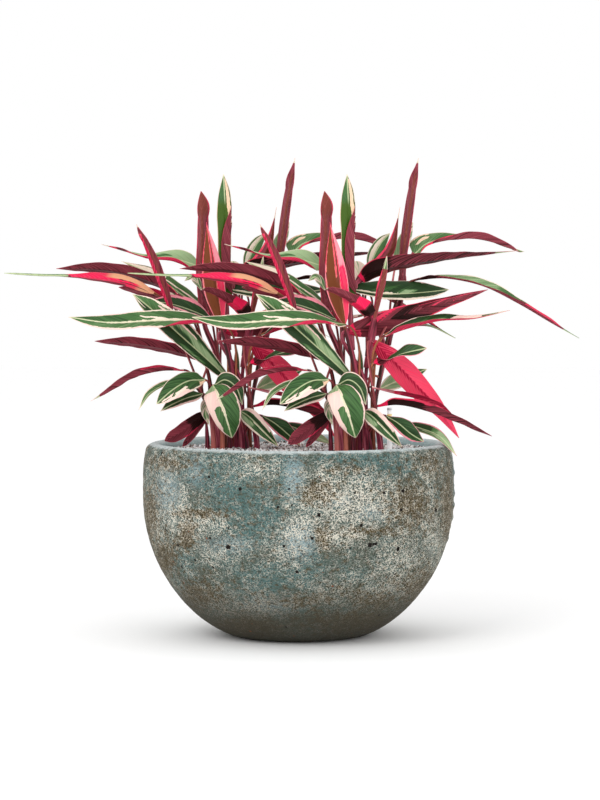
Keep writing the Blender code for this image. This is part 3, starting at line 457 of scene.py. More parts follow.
COATS = {
    "16": [dict(
        hot=1.0, glow=0.58, deep=0.1,
        under=[("both", -30, 20, 0, 100, "crimson"), ("plus", 0, 60, 60, 100, "rose", "slant"),
               ("minus", 20, 70, 0, 22, "crimson")],
        halves=[(0, 5), (15, 19, 17), (35, 24, 21), (50, 23, 19), (70, 17, 14), (90, 6)],
    ), dict(
        pale=0.9, hot=0.9, blush=0.3, glow=0.66,
        under=[("both", -10, 25, 0, 100, "shell"), ("both", 30, 110, 0, 100, "crimson")],
    )],
    "17": [dict(
        glow=0.9, deep=0.55,
        under=[("both", -10, 12, 0, 100, "hot"), ("both", 12, 45, 0, 100, "deep"),
               ("plus", -10, 50, 72, 100, "rose"), ("plus", 10, 34, 86, 100, "shell")],
        halves=[(0, 5, 6), (6, 11, 13), (15, 14, 17), (35, 16, 18), (60, 15), (85, 8)],
    )],
    "01": [dict(
        glow=0.3, deep=0.45,
        under=[("both", -30, 42, 0, 100, "deep"), ("plus", 30, 60, 84, 100, "crimson")],
        halves=[(0, 4), (15, 11), (50, 14), (80, 11.5), (93, 6), (100, 0.6)],
    ), dict(
        hot=0.1, deep=0.4,
        under=[("minus", -10, 60, 60, 100, "rose")],
        halves=[(0, 3), (20, 6), (60, 7), (88, 4.5), (100, 0.6)],
    )],
    "02": [dict(
        pale=(0.1, 0.04), sage=0.25,
        upper=[("minus", -10, 14, 30, 100, "peach"), ("minus", 14, 45, 84, 100, "cream"),
               ("minus", 22, 50, 45, 62, "cream", "slant"), ("minus", 45, 100, 70, 100, "blush"),
               ("minus", 60, 85, 36, 56, "blush", "slant")],
        halves=[(0, 3), (15, 14), (40, 23, 18), (65, 22, 18), (85, 13, 11), (95, 6, 5)],
    ), dict(
        pale=(0.05, 0.03), blush=0.3, sage=0.15,
        upper=[("minus", 0, 100, 72, 100, "blush")],
    ), dict(
        sage=0.6,
        upper=[("plus", 0, 100, 75, 100, "cream")],
    ), dict(
        pale=(0.55, 0.45), blush=0.35, sage=0.6,
    )],
    "03": [dict(
        hot=0.02, deep=0.42,
        under=[("minus", 15, 70, 86, 100, "crimson")],
    ), dict(
        hot=(0.04, 0.02), glow=0.6, deep=0.3, tail=0.88,
        under=[("minus", -10, 45, 60, 100, "crimson"), ("both", -10, 12, 0, 100, "rose")],
    ), dict(
        glow=0.8, deep=0.4, tail=0.96,
        under=[("plus", 0, 90, 0, 100, "crimson"), ("minus", 0, 90, 0, 30, "crimson"),
               ("minus", 20, 95, 45, 62, "umber")],
    )],
    "04": [dict(
        pale=(0.03, 0.04), blush=0.4, sage=0.45,
        upper=[("plus", -20, 30, 0, 90, "sage"), ("plus", 24, 56, 8, 100, "blush"),
               ("plus", 54, 86, 62, 100, "blush"), ("plus", 84, 110, 84, 100, "blush"),
               ("minus", -10, 110, 91, 100, "blush"), ("minus", 30, 100, 10, 90, "green"),
               ("both", 15, 90, 0, 8, "cream")],
        minus=[(0, 4), (12, 14), (30, 24), (50, 31), (70, 30), (85, 21), (95, 9), (100, 0.5)],
        plus=[(0, 4), (12, 18), (30, 25), (60, 25), (80, 20), (92, 11), (100, 0.5)],
    ), dict(
        pale=0.04, sage=0.15,
        upper=[("both", 0, 100, 88, 100, "blush")],
    )],
    "05": [dict(
        pale=0.02, sage=0.55, roll=(72, 44, 36), fold=14, turn_minus=(21, 150),
        upper=[("plus", 5, 62, 84, 100, "cream"), ("plus", 62, 110, 90, 100, "blush"),
               ("both", 5, 96, 0, 11, "cream"), ("plus", 36, 46, 6, 26, "cream"),
               ("plus", 44, 54, 24, 42, "cream"), ("plus", 52, 62, 40, 58, "cream"),
               ("plus", 60, 70, 56, 76, "cream"), ("plus", 5, 34, 12, 84, "green", "slant"),
               ("plus", 56, 100, 10, 86, "green"), ("minus", 0, 100, 84, 100, "blush")],
        under=[("both", -20, 60, 0, 100, "crimson")],
        minus=[(0, 4), (10, 25), (30, 31), (42, 24), (50, 19), (62, 19.5), (75, 20.5), (85, 15),
               (92, 9)],
    ), dict(
        hot=1.0, glow=0.62, deep=0.3, taper=1.2, sheath=2.4,
        under=[("minus", 55, 100, 40, 100, "shell"), ("plus", -20, 95, 0, 86, "olive"),
               ("minus", -20, 45, 0, 24, "olive"), ("minus", 40, 90, 10, 30, "umber"),
               ("minus", 30, 95, 34, 46, "shell"), ("plus", -20, 60, 90, 100, "shell"),
               ("minus", -20, 95, 86, 100, "shell")],
    )],
    "06": [dict(
        pale=(0.03, 0.05), sage=0.55,
        upper=[("minus", -10, 80, 5, 90, "dark"), ("minus", 22, 42, 60, 74, "sage"),
               ("plus", -10, 62, 0, 60, "sage"), ("plus", 40, 58, 6, 32, "dark", "slant"),
               ("plus", 5, 50, 66, 93, "dark"), ("plus", 34, 75, 58, 68, "blush"),
               ("minus", 75, 110, 0, 70, "dark"), ("minus", 80, 100, 45, 60, "cream", "slant"),
               ("minus", 0, 100, 93, 100, "blush"), ("plus", 0, 60, 93, 100, "cream"),
               ("plus", 60, 100, 84, 100, "cream")],
        minus=[(0, 3), (8, 9), (15, 12), (30, 16), (45, 18), (65, 18), (85, 11)],
        plus=[(0, 3), (8, 9), (15, 12), (30, 20), (42, 26), (55, 26), (70, 22), (85, 14)],
    ), dict(
        pale=0.03, blush=0.85, sage=0.05, width=50,
        upper=[("plus", 0, 100, 70, 100, "pink"), ("minus", 10, 80, 60, 85, "pink")],
    )],
    "07": [dict(
        hot=(1.0, 0.9), sage=0.4, glow=0.85, roll=(150, 132, 152), tail=0.6,
        upper=[("both", 50, 110, 0, 100, "plain")],
        under=[("minus", -10, 12, 0, 100, "peach"), ("minus", 10, 34, 30, 100, "peach"),
               ("minus", 14, 28, 16, 24, "maroon"), ("plus", -10, 12, 0, 100, "peach"),
               ("plus", 5, 28, 0, 30, "deep"), ("plus", 20, 90, 55, 100, "maroon"),
               ("plus", 25, 70, 10, 28, "crimson"), ("both", 58, 110, 0, 100, "plain", "slant")],
        halves=[(0, 3), (10, 10), (30, 14, 13), (45, 11), (56, 6), (64, 3.0), (80, 2.4),
                (95, 1.6)],
    ), dict(
        glow=0.9, deep=0.42, width=38,
        under=[("minus", -10, 25, 70, 100, "rose")],
    ), dict(
        deep=0.3,
        under=[("minus", -10, 52, 30, 100, "crimson")],
    )],
    "08": [dict(
        deep=0.1, sheath=2.4,
        under=[("both", 0, 110, 88, 100, "crimson"), ("both", 80, 110, 0, 80, "umber"),
               ("both", 45, 80, 0, 35, "umber")],
        minus=[(0, 4), (10, 14), (40, 20), (80, 20), (89, 17), (95, 9)],
        plus=[(0, 4), (10, 14), (40, 19), (75, 15), (86, 10.5), (94, 5)],
    ), dict(
        pale=(0.25, 0.2), hot=(0.5, 0.03), sage=1.0, roll=(22, 62, 128), fold=16,
        turn_minus=(11, 150), tail=0.9,
        upper=[("plus", 20, 50, 30, 60, "green", "slant")],
        under=[("minus", -10, 70, 0, 100, "crimson")],
        minus=[(0, 8), (8, 16), (20, 19), (35, 19), (50, 17), (70, 12), (85, 5), (92, 1.6)],
        plus=[(0, 5), (8, 17), (20, 20), (35, 17), (50, 10), (70, 5), (85, 2)],
    ), dict(
        pale=0.03, sage=0.5,
        upper=[("plus", 5, 45, 25, 42, "cream", "slant"),
               ("minus", 35, 80, 30, 50, "cream", "slant"), ("plus", 55, 100, 0, 80, "cream"),
               ("minus", 10, 90, 80, 100, "cream")],
    ), dict(
        pale=0.3, blush=0.5, sage=0.6, warm=0.3,
    )],
    "09": [dict(
        pale=0.0, hot=0.0, sage=0.28, deep=0.22, roll=(12, 6, 4), fold=8, turn_plus=(10.5, 172),
        sheath=2.4,
        upper=[("both", -20, 80, 0, 100, "leafy"), ("minus", 50, 100, 10, 80, "green"),
               ("plus", 40, 97, 26, 74, "peach")],
        minus=[(0, 2), (20, 11), (55, 14), (70, 16), (84, 12.5), (93, 6), (100, 0.3)],
        plus=[(0, 2), (15, 28), (50, 31), (62, 26.5), (78, 11.5), (87, 11), (94, 6), (100, 0.3)],
    ), dict(
        hot=1.0, glow=1.0,
    ), dict(
        pale=0.02, blush=0.3, sage=0.02, shift=13.0,
        upper=[("plus", 5, 95, 80, 100, "cream"), ("both", 2, 60, 0, 10, "cream"),
               ("minus", 45, 60, 0, 30, "sage", "slant"),
               ("minus", 15, 30, 10, 60, "green", "slant"), ("minus", 70, 110, 92, 100, "blush")],
        halves=[(0, 5, 4), (10, 17, 13), (35, 27, 20), (60, 28, 23), (80, 21, 20), (93, 9)],
    )],
    "10": [dict(
        hot=0.1, glow=0.6, deep=0.2, fold=45, tail=0.74, sheath=2.4,
        under=[("plus", 0, 45, 60, 100, "crimson"), ("plus", 45, 75, 60, 100, "rose"),
               ("minus", 0, 75, 0, 80, "umber")],
        halves=[(0, 4), (20, 7), (50, 9.5), (75, 6.5)],
    ), dict(
        glow=1.0, tail=0.95, sheath=2.6,
        under=[("both", 13, 36, 0, 100, "hot"), ("both", -30, 10, 0, 100, "deep"),
               ("plus", 0, 60, 84, 100, "crimson")],
        halves=[(0, 12), (12, 17), (30, 14), (50, 9.5), (80, 7), (93, 5)],
    )],
    "11": [dict(
        glow=0.6, deep=0.2, shift=-8.0, tail=0.88,
        under=[("plus", -10, 95, 66, 100, "rose"), ("minus", -10, 95, 90, 100, "crimson"),
               ("minus", 20, 95, 0, 80, "umber")],
        halves=[(0, 4), (12, 13), (40, 15), (65, 11), (80, 5), (88, 1.0)],
    ), dict(
        pale=0.03, sage=0.45,
        upper=[("minus", 0, 100, 10, 66, "cream")],
    ), dict(
        pale=0.72, sage=1.0,
        halves=[(0, 5), (20, 19, 17), (50, 23, 19), (80, 15, 12), (100, 0.5)],
    )],
    "12": [dict(
        hot=0.02, deep=0.28, tail=0.955, sheath=2.4,
        under=[("both", 30, 90, 0, 25, "umber"), ("minus", 10, 90, 92, 100, "crimson")],
        minus=[(0, 2), (10, 11), (50, 16), (74, 12), (84, 8), (93, 3), (96, 1.0), (100, 0.5)],
        plus=[(0, 4), (10, 11), (50, 17), (74, 19), (84, 16), (92, 6), (96, 1.2), (100, 0.5)],
    ), dict(
        pale=0.03, hot=0.02, sage=0.62, deep=0.25, roll=(22, 32, 44), fold=10, turn_plus=(5, 158),
        upper=[("minus", -4, 10, 40, 62, "peach", "slant"), ("minus", 8, 30, 86, 100, "peach")],
        under=[("plus", -10, 30, 0, 100, "hot"), ("plus", 20, 50, 90, 100, "crimson")],
        minus=[(0, 7), (5, 21), (15, 22), (30, 17), (45, 12), (60, 6), (75, 2.5)],
        plus=[(0, 4), (8, 8), (25, 10), (45, 14), (60, 19), (75, 22), (90, 16), (96, 10)],
    ), dict(
        pale=(0.2, 0.5), sage=0.85,
    )],
    "13": [dict(
        hot=0.02, glow=1.0, deep=0.62, tail=0.91, sheath=2.0, behind=34.0,
        under=[("both", -30, 5, 0, 100, "hot"), ("both", 6, 36, 0, 100, "deep"),
               ("minus", 30, 55, 30, 100, "deep", "slant"), ("plus", 0, 35, 88, 100, "crimson"),
               ("minus", 10, 95, 92, 100, "umber")],
        halves=[(0, 8, 9), (8, 15), (25, 25, 22), (45, 29, 23), (75, 19, 15), (92, 4), (100, 0.5)],
    ), dict(
        pale=0.03, sage=0.8, glow=0.8, deep=0.4, roll=(105, 82, 96), fold=46, tail=0.87,
        behind=34.0,
        upper=[("minus", 48, 75, 30, 90, "green"), ("minus", -20, 14, 0, 100, "dark"),
               ("both", 84, 110, 0, 100, "plain"), ("minus", 10, 60, 86, 100, "cream")],
        under=[("both", -20, 14, 0, 100, "deep"), ("plus", 62, 85, 50, 100, "rose"),
               ("minus", -20, 14, 60, 100, "crimson"),
               ("both", 86, 110, 0, 100, "plain", "slant")],
        minus=[(0, 5), (3, 13), (8, 13), (14, 8), (33, 16), (45, 17), (55, 13), (68, 9), (85, 4),
               (90, 2.4), (100, 1.4)],
        plus=[(0, 4), (3, 10), (8, 10), (13, 3), (42, 3), (54, 8), (65, 11), (78, 9), (87, 3.6),
              (92, 2.4), (100, 1.4)],
    ), dict(
        pale=0.03, sage=0.3,
    ), dict(
        pale=0.3, sage=0.9,
        upper=[("plus", 10, 90, 84, 100, "cream"), ("both", 60, 110, 0, 100, "green"),
               ("both", 0, 90, 0, 10, "cream")],
    )],
    "14": [dict(
        hot=0.02, glow=0.9, deep=0.45, roll=(155, 150, 140), fold=8, sheath=1.8,
        under=[("plus", 16, 38, 88, 100, "shell"), ("both", 4, 10, 0, 100, "hot"),
               ("plus", 13, 19, 0, 100, "rose", "slant"), ("minus", -10, 16, 20, 100, "crimson"),
               ("both", 32, 42, 0, 100, "deep", "slant"),
               ("both", 60, 61.5, 0, 100, "rose", "slant"), ("plus", 40, 95, 90, 100, "rose"),
               ("minus", 50, 98, 90, 100, "rose")],
        halves=[(0, 4), (10, 16, 13), (30, 27, 19), (50, 28, 18), (75, 19, 11), (92, 8, 5)],
    ), dict(
        hot=0.1, deep=0.3, behind=40.0,
        under=[("both", 30, 34, 0, 100, "rose", "slant"),
               ("both", 55, 59, 0, 100, "rose", "slant"), ("plus", -10, 110, 82, 100, "rose")],
    )],
    "15": [dict(
        pale=0.02, hot=1.0, blush=0.3, sage=0.05, glow=0.12, roll=(84, 76, 70), fold=42,
        upper=[("both", 24, 55, 0, 34, "sage"), ("both", 50, 110, 0, 100, "blush", "slant"),
               ("both", 80, 93, 0, 70, "green"), ("minus", -10, 35, 86, 100, "blush")],
        minus=[(0, 4), (12, 13), (35, 18), (60, 12), (80, 5.5), (92, 3)],
        plus=[(0, 4), (12, 14), (30, 13), (50, 7), (70, 3.5), (90, 1.5)],
    ), dict(
        pale=0.03, hot=0.05, blush=0.8, sage=0.15, glow=0.9, deep=0.6, roll=(150, 80, 14),
        upper=[("plus", 30, 100, 85, 100, "pink")],
        under=[("both", -30, 10, 0, 100, "hot")],
        halves=[(0, 4), (20, 12, 13), (50, 13, 11), (75, 17, 14), (90, 10, 8)],
    ), dict(
        pale=0.02, hot=0.1, sage=0.5, deep=0.4, tail=0.55,
        upper=[("both", 40, 110, 0, 100, "plain")],
    )],
    "18": [dict(
        pale=(0.05, 0.04), blush=0.42, sage=0.3,
        upper=[("minus", -10, 75, 55, 100, "blush"), ("minus", 75, 110, 80, 100, "blush"),
               ("minus", 25, 90, 0, 40, "dark"), ("plus", 5, 50, 25, 80, "sage"),
               ("plus", 45, 90, 0, 16, "cream"), ("plus", 0, 100, 78, 100, "cream")],
    ), dict(
        pale=(0.02, 0.03), blush=0.9, sage=0.15,
        upper=[("plus", 0, 110, 82, 100, "pink")],
        halves=[(0, 2, 3), (12, 5, 12), (30, 12, 17), (50, 17, 18), (75, 13)],
    ), dict(
        pale=0.02, blush=0.8, sage=0.6, warm=0.4,
        upper=[("minus", 0, 80, 82, 100, "pink"), ("both", 5, 50, 6, 80, "dark"),
               ("plus", 15, 60, 30, 60, "sage", "slant"), ("both", 60, 110, 0, 80, "sage")],
    )],
}

# How golden each stem's stalks are, from maroon at 0: at their top and at their foot.
STALK_GOLD = {"04": 0.6, "05": 0.45, "06": 0.7, "09": 0.2, "13": 0.2, "14": 0.0, "15": 0.55}
FOOT_GOLD = {"02": 0.5, "04": 0.6, "06": 0.6, "09": 0.3, "12": 0.55, "15": 0.7}

# Patches of the bowl's front, as (column, row, half width, half height, strength) on the sheet.
BOWL_PATCHES = {
    "crust": [
        (355, 502, 42, 26, 1.0), (300, 528, 34, 16, 0.8), (338, 535, 34, 16, 0.75),
        (265, 470, 30, 12, 0.45), (178, 512, 22, 26, 0.6), (207, 526, 22, 12, 0.7),
        (290, 552, 24, 16, 0.6), (400, 560, 30, 30, 0.5), (432, 535, 14, 34, 0.6),
        (255, 608, 40, 10, 0.6), (163, 480, 12, 26, 0.5), (212, 556, 22, 14, 0.5),
        (345, 590, 40, 14, 0.3), (392, 588, 26, 9, 0.5), (330, 474, 30, 10, 0.5),
        (428, 470, 16, 14, 0.4),
    ],
    "teal": [
        (236, 500, 34, 26, 0.9), (262, 520, 26, 24, 0.9), (206, 474, 24, 20, 0.8),
        (290, 468, 16, 20, 0.9), (360, 461, 46, 7, 1.0), (310, 560, 20, 18, 0.7),
        (270, 580, 34, 18, 0.8), (393, 468, 40, 8, 0.7), (389, 467.5, 5, 2.2, 3.2),
        (310, 620, 40, 12, 0.5), (186, 560, 26, 14, 0.5), (160, 470, 12, 20, 0.5),
    ],
    # Brown patches along the left and right edges and near the foot also darken the bowl where it
    # turns from the light: partly painted shade.
    "brown": [
        (319, 492, 16, 12, 0.8), (411, 505, 24, 26, 0.7), (432, 466, 18, 16, 0.5),
        (187, 535, 8, 16, 0.9), (150, 520, 9, 34, 0.8), (246, 627, 30, 9, 0.9),
        (360, 622, 60, 11, 0.7), (425, 590, 30, 24, 0.7), (163, 560, 14, 24, 0.8),
        (323, 538, 7, 14, 0.8), (375, 532, 40, 5, 0.6), (200, 596, 24, 14, 0.7),
        (200, 514, 26, 6, 0.7), (448, 510, 7, 50, 0.8), (345, 470, 26, 6, 0.5),
        (165, 462, 22, 8, 0.6), (380, 600, 36, 12, 0.5), (300, 600, 44, 8, 0.4),
    ],
    "frost": [
        (168, 492, 16, 30, 0.8), (294, 478, 12, 26, 0.9), (300, 540, 20, 22, 0.9),
        (228, 545, 34, 12, 0.6), (372, 512, 22, 12, 0.7), (340, 500, 20, 12, 0.6),
        (270, 606, 44, 12, 0.6), (196, 470, 12, 24, 0.6),
    ],
}

# Lumps on the bowl's right edge, as (degrees round from +X, height, radius in mm, mm they stand
# out).
BOWL_LUMPS = [
    (-3, 0.283, 5.0, 2.6), (-6, 0.262, 4.0, 1.8), (-2, 0.247, 6.0, 2.4), (-5, 0.228, 5.0, 2.6),
    (-3, 0.205, 6.0, 1.8), (-8, 0.190, 5.0, 1.6), (-4, 0.168, 6.0, 1.8), (-6, 0.300, 5.0, 1.4),
]

# The larger pits of the bowl's front, as (column, row, radius in mm) on the sheet.
BOWL_PITS = [
    (228, 547, 4.6), (398, 549, 4.4), (370, 545, 4.2), (376, 544, 3.0), (297, 572, 3.2),
    (312, 538, 3.2), (240, 489, 3.2), (278, 507, 2.4), (403, 491, 3.8), (436, 510, 3.6),
    (401, 510, 3.0), (361, 525, 2.8), (166, 530, 2.6), (178, 545, 2.8), (209, 477, 2.4),
    (384, 493, 2.6), (319, 515, 3.4), (449, 495, 2.6), (195, 560, 2.6),
    (182, 567, 3.0), (213, 567, 2.4), (214, 482, 2.0), (286, 627, 2.2), (379, 615, 2.2),
    (292, 505, 2.0), (350, 548, 2.2), (395, 574, 2.2), (162, 453, 3.0), (228, 528, 2.0),
    (284, 546, 2.4), (355, 493, 2.0), (289, 489, 2.0), (210, 538, 2.2), (431, 488, 2.2),
]


def sheet_axes():
    """The eye's forward, right and up directions, and the size of a step at 1 m from it."""
    forward = (AIM - EYE).normalized()
    right = Vector((1.0, 0.0, 0.0))
    return forward, right, right.cross(forward), SHEET_STEP / (AIM - EYE).length


def sheet_point(column, row, depth):
    """The world point that is seen at a place of the front sheet, at a given depth."""
    forward, right, upward, step = sheet_axes()
    ray = (forward + right * (column - SHEET_CENTRE[0]) * step
           + upward * (SHEET_CENTRE[1] - row) * step)
    return EYE + ray * ((depth - EYE.y) / ray.y)


def plant_point(side, column, row, depth_mm, bend=0.0):
    """A point of one plant, whose right side is turned a little away from the front."""
    shift, setback = PLANT_SHIFTS[side]
    turn = PLANT_TURN * (column - PLANT_COLUMN) * SHEET_STEP
    return sheet_point(column + shift, row, setback + turn + depth_mm * 0.001 + bend)


def bezier(points, amount):
    """A point on a cubic curve through its four handles."""
    a, b, c, d = points
    rest = 1.0 - amount
    return (a * rest ** 3 + b * 3.0 * rest ** 2 * amount
            + c * 3.0 * rest * amount ** 2 + d * amount ** 3)


def spline_point(points, amount):
    """A point on a smooth curve that passes through all its points."""
    count = len(points) - 1
    place = min(max(amount, 0.0), 1.0) * count
    index = min(int(place), count - 1)
    local = place - index
    start = points[index]
    end = points[index + 1]
    before = points[index - 1] if index > 0 else start * 2.0 - end
    after = points[index + 2] if index + 2 <= count else end * 2.0 - start
    return 0.5 * (start * 2.0 + (end - before) * local
                  + (before * 2.0 - start * 5.0 + end * 4.0 - after) * local ** 2
                  + (start * 3.0 - before - end * 3.0 + after) * local ** 3)


def stem_handles(side, stem):
    """The curve of a stem, from the top of the grit to its own top."""
    column, depth_mm = stem.base
    spot = plant_point(side, column, FOOT_ROW, depth_mm)
    foot = Vector((spot.x, spot.y, GRIT_TOP))
    top = plant_point(side, *stem.top)
    rise = (top.z - foot.z) * STEM_RISE
    lean = (top - foot) * STEM_LEAN
    below_top = top - Vector((lean.x, lean.y, rise * STEM_TOP_RISE))
    return foot, foot + Vector((0.0, 0.0, rise)), below_top, top


def lifted(point):
    """Keep a point above the grit, or above the rim where it is over that."""
    radius = math.hypot(point.x, point.y)
    floor = point.z
    if radius < BOWL_RADIUS - WALL - LIFT_INSIDE:
        floor = GRIT_TOP + LIFT
    elif radius < BOWL_RADIUS + LIFT_OUTSIDE:
        floor = BOWL_HEIGHT + LIFT
    return Vector((point.x, point.y, max(point.z, floor)))


def blend(values, amount):
    """A value that runs through three settings at the base, middle and tip."""
    late = amount >= 0.5
    share = amount * 2.0 - late
    share = share * share * (3.0 - 2.0 * share)
    first, second = values[1:] if late else values[:2]
    return first + (second - first) * share


def line_frame(points, place, roll, lean):
    """The upper normal and the sideways direction of a line at one of its points."""
    before = points[max(place - 1, 0)]
    after = points[min(place + 1, len(points) - 1)]
    along = (after - before).normalized()
    front = Vector((0.0, -1.0, 0.0))
    facing = (front - along * front.dot(along)).normalized()
    sideways = along.cross(facing) * lean
    normal = facing * math.cos(roll) + sideways * math.sin(roll)
    return normal, along.cross(normal)


def tube_faces(levels, corners, first=0):
    """The faces that join rings of points, ring to ring."""
    faces = []
    for level in range(levels - 1):
        low = first + level * corners
        high = low + corners
        for corner in range(corners):
            after = (corner + 1) % corners
            faces.append((low + corner, low + after, high + after, high + corner))
    return faces


def end_faces(levels, corners, first=0):
    """The two faces that close the ends of a tube."""
    last = first + (levels - 1) * corners
    return [tuple(range(first + corners - 1, first - 1, -1)), tuple(range(last, last + corners))]


def rings_tree(rings):
    """A search tree of the skin that joins the sections."""
    corners = [corner for ring in rings for corner in ring]
    return BVHTree.FromPolygons(corners, tube_faces(len(rings), len(rings[0])))


def stem_rings(side, stem):
    """Sections of a stem, from the bottom of its hole up to just below its top."""
    handles = stem_handles(side, stem)
    foot = handles[0]
    upper_radius = STALK_RADIUS + (STALK_TOP_RADIUS - STALK_RADIUS) * GUARDED_RISE
    levels = [
        (Vector((foot.x, foot.y, HOLE_DEPTH + 0.0004)), STALK_RADIUS),
        (foot + Vector((0.0, 0.0, 0.003)), STALK_RADIUS),
        (bezier(handles, GUARDED_RISE), upper_radius),
    ]
    return [[point + Vector((math.cos(angle), -math.sin(angle), 0.0)) * radius
             for angle in SIX_ANGLES] for point, radius in levels]


def bend_choices():
    """Bends to try, the slightest first: (bow of the whole blade, swing of its tip)."""
    choices = []
    for bow in range(-BEND_STEPS, BEND_STEPS + 1):
        for swing in range(-BEND_STEPS, BEND_STEPS + 1):
            cost = abs(bow) * BOW_COST + abs(swing) + (FORWARD_COST if bow < 0 else 0.0)
            choices.append((cost, bow * BEND_STEP, swing * BEND_STEP * SWING_STEP))
    choices.sort()
    return [(bow, swing) for _, bow, swing in choices]


def leaf_line(side, stem, index, bends, petiole_rings, stations=None):
    """The leaf's middle line as (point, blade share) pairs. The share is below 0 on the petiole.

    The stem's first leaf carries the stem on from its top, and the others leave it at its side.
    """
    bow, swing = bends
    places = stem.leaves[index].route
    count = len(places) - 1
    route = [lifted(plant_point(side, *place, bow + swing * (step / count) ** SWING_CURVE))
             for step, place in enumerate(places)]
    handles = stem_handles(side, stem)
    sprout = SPROUT_HIGHEST - SPROUT_STEP * (index - 1) if index else 1.0
    start = bezier(handles, sprout)
    up = (start - bezier(handles, sprout - STEM_BACK)).normalized()
    if index:
        up = (up + (route[0] - start).normalized() * SIDE_PULL).normalized()
    leave = (spline_point(route, ROUTE_AHEAD) - route[0]).normalized()
    span = (route[0] - start).length
    into = min(span * PETIOLE_INTO, PETIOLE_INTO_MOST)
    ends = (start, start + up * span * PETIOLE_RISE, route[0] - leave * into, route[0])
    line = [(bezier(ends, step / petiole_rings), step / petiole_rings - 1.0)
            for step in range(petiole_rings)]
    if stations is None:
        reach = (route[-1] - route[0]).length
        stations = LONG_STATIONS if reach > LONG_BLADE else SHORT_STATIONS
    return line + [(spline_point(route, station), station) for station in stations]


def leaf_lean(points, first):
    """The sign that turns a leaf's roll towards the sky, from where its blade points."""
    reach = points[-1] - points[first]
    sideways = reach.normalized().cross(Vector((0.0, -1.0, 0.0)))
    upright = abs(reach.z) > abs(reach.x) * UPRIGHT
    return math.copysign(1.0, sideways.x if upright else sideways.z)


def blade_shape(amount, leaf):
    """A blade's width along its length, as a share of its widest."""
    if amount < leaf.widest:
        rise = (amount / leaf.widest) ** BASE_ROUND
        return math.sin(math.pi / 2.0 * rise) ** (BASE_FULL / leaf.widest)
    rest = (amount - leaf.widest) / (1.0 - leaf.widest)
    return max(math.cos(math.pi / 2.0 * rest), 0.0) ** leaf.taper


def blade_half(leaf, share):
    """Half the width of a blade at a share of its length."""
    half = leaf.width * 0.0005 * blade_shape(share, leaf)
    return max(half, PETIOLE_NECK + (TIP_WIDTH / 2.0 - PETIOLE_NECK) * share)


def blade_fold(leaf, share):
    """How far a blade's halves are raised, which fades towards its base and tip."""
    base = share * FOLD_BASE[0] + FOLD_BASE[1]
    return math.radians(leaf.fold) * min(1.0, base, (1.0 - share) * FOLD_TIP)


def guard_rings(leaf, line, margin):
    """The solid's six-pointed sections along a leaf, grown by a margin."""
    points = [point for point, _ in line]
    lean = leaf_lean(points, PETIOLE_RINGS)
    rings = []
    for place, (point, share) in enumerate(line):
        roll = math.radians(blend(leaf.roll, max(share, 0.0)))
        normal, across = line_frame(points, place, roll, lean)
        if share < 0.0:
            radius = PETIOLE_RADIUS + (PETIOLE_NECK - PETIOLE_RADIUS) * (share + 1.0) + margin
            rings.append([point + across * radius * math.cos(angle)
                          + normal * radius * math.sin(angle) for angle in SIX_ANGLES])
            continue
        half = blade_half(leaf, share) + margin
        fold = blade_fold(leaf, share)
        edge = BLADE_EDGE / 2.0 + margin
        middle = (MIDRIB_START + (MIDRIB_END - MIDRIB_START) * share ** 0.5) / 2.0 + margin
        rise = normal * middle / math.cos(fold)
        left = point + (normal * math.sin(fold) - across * math.cos(fold)) * half
        right = point + (normal * math.sin(fold) + across * math.cos(fold)) * half
        left_lift = (normal * math.cos(fold) + across * math.sin(fold)) * edge
        right_lift = (normal * math.cos(fold) - across * math.sin(fold)) * edge
        rings.append([left + left_lift, point + rise, right + right_lift,
                      right - right_lift, point - rise, left - left_lift])
    return rings


def node_tree(name):
    """A search tree of a CAD node."""
    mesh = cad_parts[name].data
    corners = [vertex.co.copy() for vertex in mesh.vertices]
    return BVHTree.FromPolygons(corners, [tuple(face.vertices) for face in mesh.polygons])


def is_clear(owner, whole, blade, obstacles, stalks, placed):
    """Whether a leaf keeps clear of all that is already there."""
    if any(whole.overlap(tree) for tree in obstacles):
        return False
    if any(whole.overlap(tree) for other, tree in stalks.items() if other != owner):
        return False
    for other, tree, other_blade in placed:
        if other != owner and whole.overlap(tree):
            return False
        if other == owner and blade.overlap(other_blade):
            return False
    return True


def find_bends():
    """The bow and swing of each leaf that keep it clear, found as the solids' were."""
    choices = bend_choices()
    obstacles = [node_tree(name) for name in ("bowl", "grit_top", "water_gauge")]
    owners = [(side, key) for side in PLANT_SHIFTS for key in STEMS]
    stalks = {(side, key): rings_tree(stem_rings(side, STEMS[key])) for side, key in owners}
    placed = []
    found = {}
    for side, key in owners:
        stem = STEMS[key]
        for index, leaf in enumerate(stem.leaves):
            for bends in choices:
                line = leaf_line(side, stem, index, bends, PETIOLE_RINGS)
                guard = guard_rings(leaf, line, CLEAR_MARGIN)
                whole = rings_tree(guard)
                blade = rings_tree(guard[FREE_RING:])
                if is_clear((side, key), whole, blade, obstacles, stalks, placed):
                    break
            found[side, key, index] = bends
            rings = guard_rings(leaf, line, 0.0)
            placed.append(((side, key), rings_tree(rings), rings_tree(rings[FREE_RING:])))
    return found


def smooth_step(values, low, high):
    """A soft step from 0 at low to 1 at high."""
    share = np.clip((values - low) / (high - low), 0.0, 1.0)
    return share * share * (3.0 - 2.0 * share)


def soft_box(values, low, high, soft):
    """1 between low and high, falling off to 0 over a soft edge."""
    return (smooth_step(values, low - soft, low + soft)
            * (1.0 - smooth_step(values, high - soft, high + soft)))


